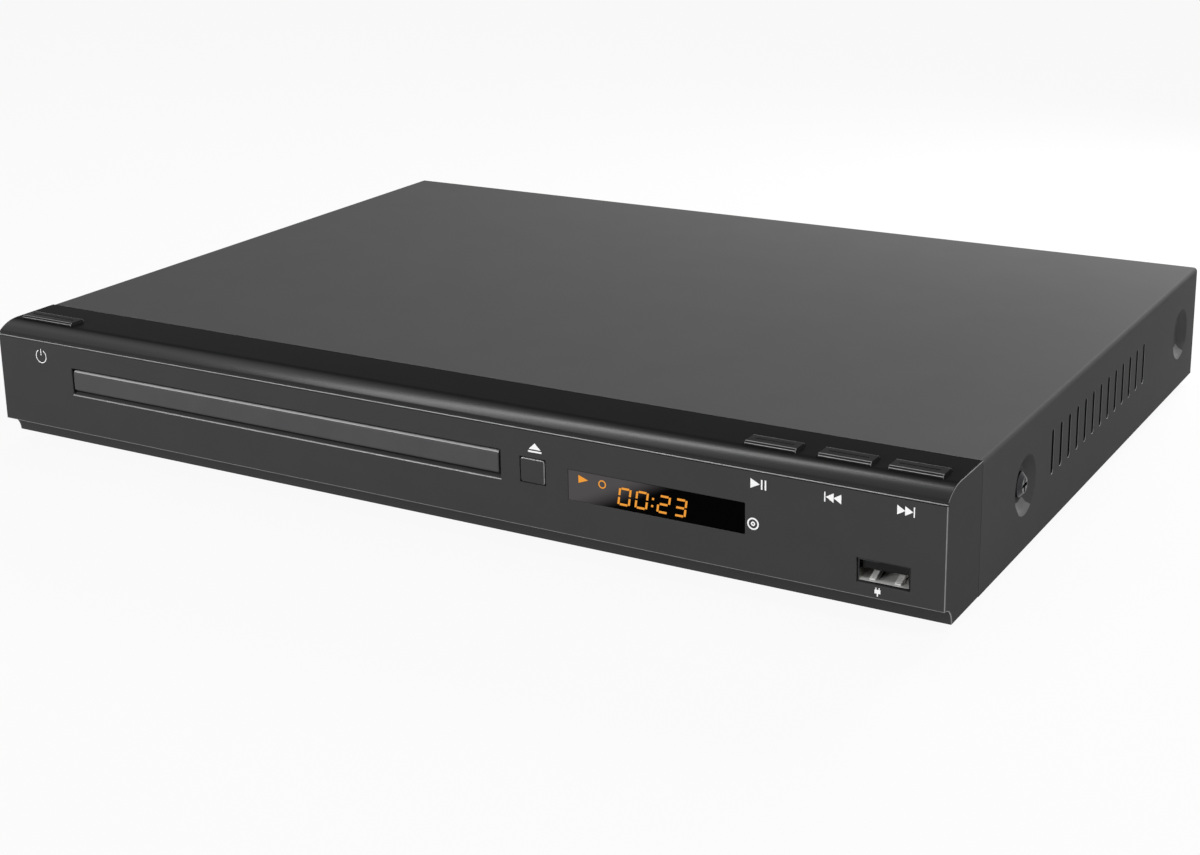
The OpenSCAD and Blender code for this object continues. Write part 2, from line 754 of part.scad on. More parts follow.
module loader_frame() {
    rail_in = tray_w / 2 - 2;       // inner edge of the ledges that carry the tray
    color(loader_color) difference() {
        union() {
            about_tray() both_sides() {
                box(frame_x, frame_y, [frame_z, frame_top]);
                box([rail_in, frame_x[0] + eps], frame_y, [frame_z, frame_z + 2]);
                for (y = guide_ys) {
                    box([tray_w / 2 + 0.15, frame_x[0] + eps], y, [ledge_z - eps, tray_top]);
                    box([tray_w / 2 - 2, frame_x[0] + eps], y, [tray_top + 0.15, frame_top]);
                }
                // pivot bracket of the traverse, on its cross beam
                box([traverse_x + 2.2, frame_x[0] + eps], [pivot_y - 5, pivot_y + 5], [frame_z, frame_z + 2]);
                box([traverse_x + 2.2, traverse_x + 5.4], [pivot_y - 5, pivot_y + 5],
                    [frame_z, pivot_z + 4.5]);
            }
            about_tray() {
                box([-frame_x[1], frame_x[1]], [frame_y[1] - 2.8, frame_y[1]], [frame_z, frame_top]);
                box([-frame_x[1], frame_x[1]], [frame_y[0], frame_y[0] + 2.5], [frame_z, ledge_z - 0.7]);
            }
            // ledges that carry the tray, with room for the wheel
            difference() {
                about_tray() both_sides()
                    box([rail_in, frame_x[0] + eps], frame_y, [ledge_z - 1.6, ledge_z]);
                post([tray_gear_x, train_y], wheel_r + addendum + 0.6, [ledge_z - 3, ledge_z + 1]);
            }
            for (p = loader_ears) post(p, 4, [frame_z, frame_z + 2]);
            for (p = loader_ears) box([min(p[0], cx + sign(p[0] - cx) * frame_x[0]),
                max(p[0], cx + sign(p[0] - cx) * frame_x[0])], [p[1] - 4, p[1] + 4], [frame_z, frame_z + 2]);
            for (p = bridge_holes) post(p, 2.8, [frame_z + 10, frame_top]);
            // deck that carries the gears and the motor
            box([cx - frame_x[0] - eps, motor_x - 14.5], [frame_y[0], cam_y[0] - 0.3], [deck_z, deck_top]);
            box([motor_x - 14.5 - eps, cx + frame_x[0] + eps], [frame_y[0], deck_back], [deck_z, deck_top]);
            box([motor_x - 13, motor_x + 13], [train_y - 11.5, train_y + 11.5],
                [motor_mount_z, motor_mount_z + motor_mount_t]);
            for (x = [motor_x - 13, motor_x + 10], y = [train_y - 11.5, train_y + 8.5])
                box([x, x + 3], [y, y + 3], [deck_top - eps, motor_mount_z + eps]);
            // axles of the gears
            post([tray_gear_x, train_y], 2, [deck_top - eps, wheel_z - touch]);
            post([tray_gear_x, train_y], 1.2, [deck_top, tray_z + 3.1]);
            post([pulley_x, train_y], 3.4, [deck_top - eps, pulley_z - touch]);
            post([pulley_x, train_y], 1.5, [deck_top, wheel_z + wheel_t + 0.2]);
            // hooks that hold the cam slider down
            for (x = hook_xs) {
                box(x, [35.6, 37.3], [deck_top - eps, deck_top + 2.9]);
                box(x, [35.6, 40], [deck_top + 1.7, deck_top + 2.9]);
            }
        }
        // notch over the pan's front flange
        about_tray() box([-frame_x[1] - 1, frame_x[1] + 1], [pan_y - 0.2, pan_y + sheet_t + 0.2],
            [frame_z - 1, pan_flange_z + 0.2]);
        post([motor_x, train_y], motor_r + 0.6, [deck_z - 1, deck_top + 0.1]);
        post([motor_x, train_y], 3, [motor_mount_z - 1, motor_mount_z + motor_mount_t + 1]);
        about_tray() both_sides()
            bar_x(pivot_y, pivot_z, pivot_r + pin_gap, [traverse_x + 1, traverse_x + 7]);
        for (p = loader_ears) post(p, 1.3, [frame_z - 1, frame_z + 3]);
        for (p = bridge_holes) post(p, 1.05, [frame_top - 6, frame_top + 1]);
    }
}

module rack_teeth() {
    pitch = PI * gear_m;
    half = pitch / 4 - gear_slack / 2;
    first = ceil((door_t + 6 - train_y) / pitch);
    last = ceil((tray_travel + 2) / pitch);
    for (i = [first:last - 1]) translate([rack_x, train_y + (i + 0.5) * pitch, tray_z])
        linear_extrude(3.2) polygon([
            [dedendum + 0.2, -half - dedendum * tan(pressure)],
            [dedendum + 0.2, half + dedendum * tan(pressure)],
            [-addendum, half - addendum * tan(pressure)],
            [-addendum, -half + addendum * tan(pressure)]
        ]);
}

module tray() {
    half = tray_w / 2;
    y = [door_t, door_t + tray_l];
    ceiling = tray_top - tray_shell;
    rack_in = tray_gear_x - pinion_r - addendum - 0.4;
    color("#2a2a2a") {
        difference() {
            box([cx - half, cx + half], y, [tray_z, tray_top]);
            post([cx, disc_y], disc_d / 2 + disc_gap, [recess_z, tray_top + 1]);
            post([cx, disc_y], small_disc_d / 2 + disc_gap, [small_recess_z, tray_top]);
            post([cx, disc_y], spindle_slot_r, [tray_z - 1, tray_top]);
            box([cx - spindle_slot_r, cx + spindle_slot_r], [disc_y, y[1] + 1], [tray_z - 1, tray_top + 1]);
            // grooves under the edges: the right one holds the rack
            box([rack_in, rack_x + dedendum], [y[0] + 4, y[1] + 1], [tray_z - 1, ceiling]);
            box([2 * cx - rack_x - dedendum, 2 * cx - rack_in], [y[0] + 4, y[1] - 3], [tray_z - 1, ceiling]);
            // hollow underside: under the recess floor and behind the disc
            difference() {
                post([cx, disc_y], disc_d / 2 - 2, [tray_z - 1, recess_z - 1.8]);
                post([cx, disc_y], small_disc_d / 2 + 2, [tray_z - 2, recess_z]);
                box([cx - spindle_slot_r - 2, cx + spindle_slot_r + 2], [disc_y, y[1]],
                    [tray_z - 2, recess_z]);
            }
            about_tray() both_sides()
                box([spindle_slot_r + 2, rack_in - cx - 2], [disc_y + disc_d / 2 + 4, y[1] - 3],
                    [tray_z - 1, ceiling]);
        }
        rack_teeth();
    }
}

module tray_door() {
    bevel = 0.6;
    color("#5a5a5a") across([cx - door_w / 2, cx + door_w / 2]) polygon([
        [0, door_z + bevel], [bevel, door_z], [door_t, door_z], [door_t, door_z + door_h],
        [bevel, door_z + door_h], [0, door_z + door_h - bevel]
    ]);
}

module clamp_bridge() {
    z = [bridge_z, bridge_z + bridge_t];
    reach = frame_x[1] + 4;
    color("#8c8c8c") difference() {
        union() {
            box([cx - reach, cx + reach], bridge_y, z);
            for (y = [bridge_y[0], bridge_y[1] - bridge_t])
                box([cx - reach + 8, cx + reach - 8], [y, y + bridge_t], [z[0], z[0] + 4]);
        }
        post([cx, disc_y], clamper_r + 0.5, [z[0] - 1, z[1] + 1]);
        about_tray() both_sides() box([26, 60], [bridge_y[0] + 9, bridge_y[1] - 9], [z[0] - 1, z[1] + 1]);
        for (p = bridge_holes) post(p, 1.3, [z[0] - 1, z[1] + 1]);
    }
}

module clamper() {
    low = tray_top + 0.45;
    seat = bridge_z + bridge_t + touch;
    color("#d8d8d8") translate([cx, disc_y, 0]) rotate_extrude() polygon([
        [0, low + 1.5], [hub_r + 2, low + 1.5], [hub_r + 2, low], [clamper_r, low], [clamper_r, seat],
        [clamper_r + 4, seat], [clamper_r + 4, seat + 1.2], [10, seat + 1.2], [10, seat + 2.2],
        [0, seat + 2.2]
    ]);
}

// ---- gear train ----

function involute(a) = tan(a) * 180 / PI - a;

// outline of a spur gear: four points up each involute flank
function gear_outline(n) =
    let (
        rp = gear_m * n / 2,
        rb = rp * cos(pressure),
        root = rp - dedendum,
        start = max(rb, root),
        half_p = 90 / n - gear_slack / (2 * rp) * 180 / PI,
        rs = [for (i = [0:3]) start + (rp + addendum - start) * i / 3],
        halves = [for (r = rs) half_p + involute(pressure) - involute(acos(min(1, rb / r)))]
    )
    [for (k = [0:n - 1]) let (c = 360 * k / n) each concat(
        [root * [cos(c - halves[0]), sin(c - halves[0])]],
        [for (i = [0:3]) rs[i] * [cos(c - halves[i]), sin(c - halves[i])]],
        [for (i = [3:-1:0]) rs[i] * [cos(c + halves[i]), sin(c + halves[i])]],
        [root * [cos(c + halves[0]), sin(c + halves[0])]]
    )];

module gear(n, z) {
    translate([0, 0, z[0]]) linear_extrude(z[1] - z[0]) polygon(gear_outline(n));
}

// pulley with a groove for the belt
module pulley(r, z) {
    rim = r + flange_lip;
    floor_r = r - belt_t / 2 - pin_gap;
    mid = (z[0] + z[1]) / 2;
    half = belt_t / 2 + 0.15;
    rotate_extrude() polygon([
        [0, z[0]], [rim, z[0]], [rim, z[0] + 0.3], [floor_r, mid - half], [floor_r, mid + half],
        [rim, z[1] - 0.3], [rim, z[1]], [0, z[1]]
    ]);
}

// wheel driven by the pulley gear, with the small pinion that drives the rack on top
module tray_gear() {
    wheel_top = wheel_z + wheel_t;
    color("#e8e4d8") translate([tray_gear_x, train_y, 0]) difference() {
        union() {
            gear(wheel_n, [wheel_z, wheel_top]);
            gear(pinion_n, [wheel_top - eps, tray_z + 3]);
        }
        post([0, 0], 1.2 + pin_gap, [wheel_z - 1, tray_z + 4]);
    }
}

module pulley_gear() {
    top = wheel_z + wheel_t + 0.2;
    color("#e8e4d8") translate([pulley_x, train_y, 0]) difference() {
        union() {
            pulley(pulley_r, [pulley_z, pulley_z + pulley_t]);
            // the teeth are turned so that a gap faces the wheel
            rotate([0, 0, 180 / small_n]) gear(small_n, [pulley_z + pulley_t - eps, top]);
        }
        post([0, 0], 1.5 + pin_gap, [pulley_z - 1, top + 1]);
    }
}

module motor_pulley() {
    color("#c9a227") translate([motor_x, train_y, 0]) difference() {
        pulley(motor_pulley_r, [pulley_z, pulley_z + pulley_t]);
        post([0, 0], shaft_r, [pulley_z - 1, pulley_z + pulley_t + 1]);
    }
}

module motor_shaft() {
    color(nickel_color) post([motor_x, train_y], shaft_r, [motor_mount_z - 2, pulley_z + pulley_t + 0.5]);
}

module loading_motor() {
    color("#9a9a9a") difference() {
        union() {
            post([motor_x, train_y], motor_r, [motor_z, motor_mount_z]);
            post([motor_x, train_y], 2.8, [motor_mount_z - eps, motor_mount_z + 1.2]);
            post([motor_x, train_y], 3.5, [motor_z - 0.4, motor_z + eps]);
        }
        post([motor_x, train_y], shaft_r + pin_gap, [motor_mount_z - 2.5, motor_mount_z + 2]);
    }
}

// outline of the belt's path at a given distance from its middle line
module belt_path(grow) {
    turn = asin((pulley_r - motor_pulley_r) / belt_span);
    rs = [pulley_r + grow, motor_pulley_r + grow];
    c = cos(turn);
    s = sin(turn);
    translate([pulley_x, train_y]) circle(r = rs[0]);
    translate([motor_x, train_y]) circle(r = rs[1]);
    polygon([
        [pulley_x - rs[0] * s, train_y + rs[0] * c], [motor_x - rs[1] * s, train_y + rs[1] * c],
        [motor_x - rs[1] * s, train_y - rs[1] * c], [pulley_x - rs[0] * s, train_y - rs[0] * c]
    ]);
}

module drive_belt() {
    mid = pulley_z + pulley_t / 2;
    color("#141414") translate([0, 0, mid - belt_t / 2]) linear_extrude(belt_t) difference() {
        belt_path(belt_t / 2);
        belt_path(-belt_t / 2);
    }
}

// ---- traverse: it carries the turntable and the pickup, and drops at its front ----

module cam_slider() {
    x = [pin_x - 8, pin_x + cam_travel + 8];
    flange_z = deck_top + touch;
    color("#e8e4d8") {
        box(x, [37.5, cam_y[0] + eps], [flange_z, flange_z + 1.5]);
        translate([0, cam_y[1], 0]) rotate([90, 0, 0]) linear_extrude(cam_y[1] - cam_y[0]) difference() {
            translate([x[0], 2.2]) square([x[1] - x[0], 14.6]);
            // slot: level, sloping down, level
            polygon([
                [pin_x - 3, pin_z - slot_half], [pin_x - 3, pin_z + slot_half],
                [pin_x + 0.3, pin_z + slot_half],
                [pin_x + cam_travel + 0.3, pin_z - cam_drop + slot_half],
                [pin_x + cam_travel + 3, pin_z - cam_drop + slot_half],
                [pin_x + cam_travel + 3, pin_z - cam_drop - slot_half],
                [pin_x + cam_travel - 0.3, pin_z - cam_drop - slot_half],
                [pin_x - 0.3, pin_z - slot_half]
            ]);
        }
    }
}

module traverse_frame() {
    top = traverse_z + traverse_t;
    color("#7d7d80") difference() {
        union() {
            difference() {
                about_tray() box([-traverse_x, traverse_x], traverse_y, [skirt_z, top]);
                about_tray() box([-traverse_x + skirt_t, traverse_x - skirt_t],
                    [traverse_y[0] + skirt_t, traverse_y[1] + 1], [skirt_z - 1, traverse_z]);
            }
            // arms and pivot pins
            about_tray() both_sides() {
                box([traverse_x - skirt_t, traverse_x], [pivot_y - 14, pivot_y + 3.5], [pivot_z - 3.5, top]);
                bar_x(pivot_y, pivot_z, pivot_r, [traverse_x - eps, traverse_x + 5.2]);
            }
            // blocks that hold the ends of the guide rods
            about_tray() for (s = [-1, 1], y = [opening_y[0] - 3, opening_y[1]])
                box([s * guide_x - 3.5, s * guide_x + 3.5], [y, y + 3], [guide_z - 2.8, traverse_z + eps]);
            // front bearing of the lead screw
            about_tray() box([screw_x - 2.4, screw_x + 3], [opening_y[0] - 3, opening_y[0]],
                [screw_z - 2, traverse_z + eps]);
            // pin that rides in the cam slot
            bar_y(pin_x, pin_z, pin_r, [cam_y[0] + 0.2, traverse_y[0] + eps]);
        }
        about_tray() box(opening_x, opening_y, [traverse_z - 1, top + 1]);
        post([cx, disc_y], 3.5, [traverse_z - 1, top + 1]);
        for (s = [-1, 1])
            bar_y(cx + s * guide_x, guide_z, guide_r + 0.02, [opening_y[0] - 4, opening_y[1] + 4]);
        bar_y(cx + screw_x, screw_z, screw_r + pin_gap, [opening_y[0] - 4, opening_y[0] + 1]);
    }
}

module spindle_motor() {
    color("#a8a8a8") difference() {
        union() {
            post([cx, disc_y], spindle_r, [spindle_z, traverse_z]);
            post([cx, disc_y], 3, [traverse_z - eps, traverse_z + traverse_t + 0.3]);
        }
        post([cx, disc_y], shaft_r + pin_gap, [spindle_z + 0.6, traverse_z + 4]);
    }
}

module spindle_shaft() {
    color(nickel_color) post([cx, disc_y], shaft_r, [spindle_z + 0.8, disc_z + 1.2]);
}

module turntable() {
    hub_top = disc_z + 1.7;
    color("#1c1c1c") translate([cx, disc_y, 0]) rotate_extrude() polygon([
        [shaft_r, traverse_z + traverse_t + 0.5], [4, traverse_z + traverse_t + 0.5],
        [4, disc_z - 2.5], [table_r, disc_z - 2.5], [table_r, disc_z], [table_r - 3.5, disc_z],
        [table_r - 3.5, disc_z - 0.3], [hub_r, disc_z - 0.3], [hub_r, disc_z + 0.7],
        [hub_r - 1.4, hub_top], [shaft_r, hub_top]
    ]);
}

module guide_rods() {
    color(nickel_color) for (s = [-1, 1])
        bar_y(cx + s * guide_x, guide_z, guide_r, [opening_y[0] - 2.8, opening_y[1] + 2.8]);
}

module pickup_sled() {
    y = [sled_y, sled_y + sled_l];
    color("#3c3c3e") difference() {
        union() {
            about_tray() {
                box([-18, 18], y, sled_z);
                box([-guide_x, -17], [y[0], y[1]], [guide_z - 2.6, guide_z + 2.6]);
                box([17, guide_x + 2.5], [y[0] + 8, y[1] - 8], [guide_z - 3, guide_z + 3]);
                // finger in the lead screw's thread
                box([guide_x, screw_x - screw_r - touch], [y[0] + 11, y[0] + 19],
                    [screw_z - 1.2, guide_z - 2]);
            }
            bar_y(cx - guide_x, guide_z, 2.8, y);
            post([cx, lens_y], 5, [sled_z[1] - eps, sled_z[1] + 3.2]);
        }
        bar_y(cx - guide_x, guide_z, guide_r + pin_gap, [y[0] - 1, y[1] + 1]);
        about_tray() {
            box([guide_x - guide_r - 0.4, guide_x + 4], [y[0], y[1]],
                [guide_z - guide_r - pin_gap, guide_z + guide_r + pin_gap]);
            // hollow underside and a cut at each side of the lens
            box([-15, 15], [y[0] + 3, y[1] - 3], [sled_z[0] - 1, sled_z[1] - 3.5]);
            for (s = [-1, 1]) box([s * 11 - 3, s * 11 + 3], [y[0] + 14, y[1] - 6],
                [sled_z[1] - 1.5, sled_z[1] + 1]);
        }
        post([cx, lens_y], 3.2, [sled_z[1] + 2.2, sled_z[1] + 4]);
    }
}

module objective_lens() {
    seat = sled_z[1] + 2.2;
    color("#8fb4d8") translate([cx, lens_y, seat]) {
        cylinder(r = 3.1, h = 0.9);
        intersection() {
            translate([0, 0, 0.9 - 3.2]) sphere(r = 4);
            translate([0, 0, 0.8]) cylinder(r = 2.2, h = 1.2);
        }
    }
}

module sled_motor() {
    y = [sled_motor_y, sled_motor_y + 14];
    color("#b4b4b4") difference() {
        bar_y(cx + screw_x, screw_z, 5, y);
        bar_y(cx + screw_x, screw_z, shaft_r + pin_gap, [y[0] - 1, y[0] + 6]);
    }
}

// screw with the journal that runs into its motor
module lead_screw() {
    y = [opening_y[0] - 2.5, sled_motor_y];
    color(nickel_color) {
        bar_y(cx + screw_x, screw_z, screw_r, [y[0], y[1] - 0.2]);
        bar_y(cx + screw_x, screw_z, shaft_r, [y[1] - 0.2 - eps, y[1] + 5]);
    }
}

// ---- main board, power board and rear connectors ----

module drilled_board(x, y, holes) {
    color(board_color) difference() {
        box(x, y, [board_z, board_top]);
        for (p = holes) post(p, 1.3, [board_z - 1, board_top + 1]);
    }
}

module main_board() { drilled_board(main_x, main_y, main_holes); }

module power_board() { drilled_board(supply_x, supply_y, supply_holes); }

// a place on the main board, as parts of its width and depth
function on_board(p) = [main_x[0] + p[0] * main_w, main_y[0] + p[1] * main_d];

// chips of the main board: [place, width, depth, height]
module board_chips() {
    color("#1b1b1b") for (c = [[[0.5, 0.42], 20, 20, 2], [[0.82, 0.38], 11, 16, 1.6],
            [[0.19, 0.44], 12, 10, 1.6], [[0.52, 0.71], 10, 8, 1.6], [[0.18, 0.19], 12, 9, 2]])
        translate([on_board(c[0])[0] - c[1] / 2, on_board(c[0])[1] - c[2] / 2, board_top])
            cube([c[1], c[2], c[3]]);
}

// capacitors of the main board: [place, radius, height]
module board_capacitors() {
    color("#2d3550") for (c = [[[0.74, 0.67], 4, 9], [[0.88, 0.67], 3, 7], [[0.4, 0.1], 4, 9],
            [[0.55, 0.1], 3, 7], [[0.74, 0.15], 4, 9]])
        post(on_board(c[0]), c[1], [board_top, board_top + c[2]]);
}

module power_transformer() {
    x = supply_x[1] - 36;
    y = (supply_y[0] + supply_y[1]) / 2;
    color("#c9a94a") {
        box([x - 9, x + 9], [y - 8, y + 8], [board_top, board_top + 15]);
        for (s = [-1, 1]) box([x - 4, x + 4], [y + s * 9.5 - 1.5 - eps, y + s * 9.5 + 1.5 + eps],
            [board_top + 1, board_top + 14]);
    }
}

module power_capacitors() {
    y = (supply_y[0] + supply_y[1]) / 2;
    color("#23304f") {
        post([supply_x[1] - 55, y], 8, [board_top, board_top + 22]);
        for (p = [[supply_x[1] - 16, y - 6], [supply_x[1] - 16, y + 6]])
            post(p, 4, [board_top, board_top + 14]);
    }
}

module rounded_slot(x, z, half, r, y) {
    for (s = [-1, 1]) bar_y(x + s * half, z, r, y);
    box([x - half, x + half], y, [z - r, z + r]);
}

module mains_inlet() {
    y = [plate_y - 15, body_d];
    color("#161616") difference() {
        union() {
            box([inlet_x - inlet_w / 2, inlet_x + inlet_w / 2], y,
                [inlet_z - inlet_h / 2, inlet_z + inlet_h / 2]);
            box([inlet_x - inlet_w / 2, inlet_x + inlet_w / 2], [y[0], y[0] + 8],
                [board_top, inlet_z - inlet_h / 2 + eps]);
        }
        rounded_slot(inlet_x, inlet_z, 3.6, 4.6, [y[1] - 12, y[1] + 1]);
        for (s = [-1, 1]) bar_y(inlet_x + s * inlet_pin_pitch / 2, inlet_z, 1.2, [y[1] - 15, y[1] - 5]);
    }
}

module inlet_pins() {
    y = [body_d - 14, body_d - 2.5];
    color(nickel_color) for (s = [-1, 1]) bar_y(inlet_x + s * inlet_pin_pitch / 2, inlet_z, 1.2, y);
}

module jack_housing() {
    half = jack_pitch + jack_r + 2.4;
    y = [plate_y - jack_body_d, plate_y];
    color("#1a1a1a") difference() {
        union() {
            box([jack_x - half, jack_x + half], y, [board_top, jack_z + jack_r + 2.4]);
            for (i = [-1:1]) {
                bar_y(jack_x + i * jack_pitch, jack_z, jack_r + 0.3, [y[1] - eps, plate_back]);
                bar_y(jack_x + i * jack_pitch, jack_z, 3.2, [y[1] - eps, body_d + jack_out - 0.6]);
            }
        }
        for (i = [-1:1])
            bar_y(jack_x + i * jack_pitch, jack_z, 1.7, [y[1] - 7, body_d + jack_out + 1]);
    }
}

module jack_barrels() {
    color(nickel_color) for (i = [-1:1]) difference() {
        bar_y(jack_x + i * jack_pitch, jack_z, jack_r, [plate_back, body_d + jack_out]);
        bar_y(jack_x + i * jack_pitch, jack_z, 3.2, [plate_y - 1, body_d + jack_out + 1]);
    }
}

module hdmi_socket() {
    y = [plate_y - 10.6, body_d - 0.4];
    z = [board_top, board_top + hdmi_h];
    wall = 0.35;
    // trapezoid mouth of the socket, drawn from behind
    module mouth(inset) {
        half = hdmi_w / 2 - inset;
        polygon([
            [hdmi_x - half + 1.6, z[0] + inset], [hdmi_x + half - 1.6, z[0] + inset],
            [hdmi_x + half, z[0] + 1.9], [hdmi_x + half, z[1] - inset], [hdmi_x - half, z[1] - inset],
            [hdmi_x - half, z[0] + 1.9]
        ]);
    }
    color(nickel_color) difference() {
        along(y) mouth(0);
        along([y[0] + 1, y[1] + 1]) mouth(wall);
    }
    color("#101010") box([hdmi_x - 5.6, hdmi_x + 5.6], [y[0] + 0.9, y[1] - 1.5], [z[0] + 2.1, z[0] + 3.3]);
}

// the case's origin: middle of the whole depth, jacks included, on the floor
module placed() {
    translate([0, -(body_d + jack_out) / 2, foot_h]) children();
}

placed() front_panel();
placed() tray_door();
placed() tray();
placed() display_window();
placed() display_module();
placed() front_board();
placed() front_switches();
placed() key_board();
placed() power_key_board();
placed() usb_board();
placed() usb_socket();
placed() play_key();
placed() previous_key();
placed() next_key();
placed() power_key();
placed() eject_key();
placed() top_cover();
placed() bottom_pan();
placed() rear_panel();
placed() feet();
placed() side_screws();
placed() rear_screws();
placed() loader_screws();
placed() board_screws();
placed() loader_frame();
placed() clamp_bridge();
placed() clamper();
placed() loading_motor();
placed() motor_shaft();
placed() motor_pulley();
placed() drive_belt();
placed() pulley_gear();
placed() tray_gear();
placed() cam_slider();
placed() traverse_frame();
placed() spindle_motor();
placed() spindle_shaft();
placed() turntable();
placed() guide_rods();
placed() pickup_sled();
placed() objective_lens();
placed() sled_motor();
placed() lead_screw();
placed() main_board();
placed() board_chips();
placed() board_capacitors();
placed() power_board();
placed() power_transformer();
placed() power_capacitors();
placed() mains_inlet();
placed() inlet_pins();
placed() jack_housing();
placed() jack_barrels();
placed() hdmi_socket();
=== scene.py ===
# Set-top disc player with a motor-driven front tray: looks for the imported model
import math
import bpy
import bmesh
from mathutils import Matrix, Vector


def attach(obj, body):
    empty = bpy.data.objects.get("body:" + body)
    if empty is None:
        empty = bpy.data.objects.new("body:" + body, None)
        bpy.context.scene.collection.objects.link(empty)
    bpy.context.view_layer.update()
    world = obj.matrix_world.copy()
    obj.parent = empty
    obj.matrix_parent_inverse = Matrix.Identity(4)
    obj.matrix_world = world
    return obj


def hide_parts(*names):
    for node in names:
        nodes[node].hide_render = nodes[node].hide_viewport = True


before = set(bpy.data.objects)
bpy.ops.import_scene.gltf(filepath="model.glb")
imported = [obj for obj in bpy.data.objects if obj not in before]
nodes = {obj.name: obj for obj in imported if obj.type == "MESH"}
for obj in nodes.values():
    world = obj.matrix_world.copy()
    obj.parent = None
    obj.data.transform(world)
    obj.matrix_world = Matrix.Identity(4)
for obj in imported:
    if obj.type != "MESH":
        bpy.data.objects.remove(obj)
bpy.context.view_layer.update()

scene = bpy.context.scene
print("frame loaded:", len(nodes), "nodes")

# the drawing's zero is the front face's bottom edge; the model stands on its feet, centred
drawing = {"middleDepth": 114.75, "footHeight": 3.0}


def place(x, y, z):
    return Vector((x, y - drawing["middleDepth"], z + drawing["footHeight"])) / 1000


def acrossAt(x):
    return place(x, 0, 0).x


def depthAt(y):
    return place(0, y, 0).y


def heightAt(z):
    return place(0, 0, z).z


def linear(colour):
    parts = [int(colour[i:i + 2], 16) / 255 for i in (1, 3, 5)]
    return [c / 12.92 if c <= 0.04045 else ((c + 0.055) / 1.055) ** 2.4 for c in parts] + [1.0]


def addNode(tree, kind, settings=None, sockets=None, links=None):
    node = tree.nodes.new(kind)
    for name, value in (settings or {}).items():
        setattr(node, name, value)
    for name, value in (sockets or {}).items():
        node.inputs[name].default_value = value
    for name, source in (links or {}).items():
        tree.links.new(source, node.inputs[name])
    return node


def perMetre(millimetres):
    return 1000 / millimetres


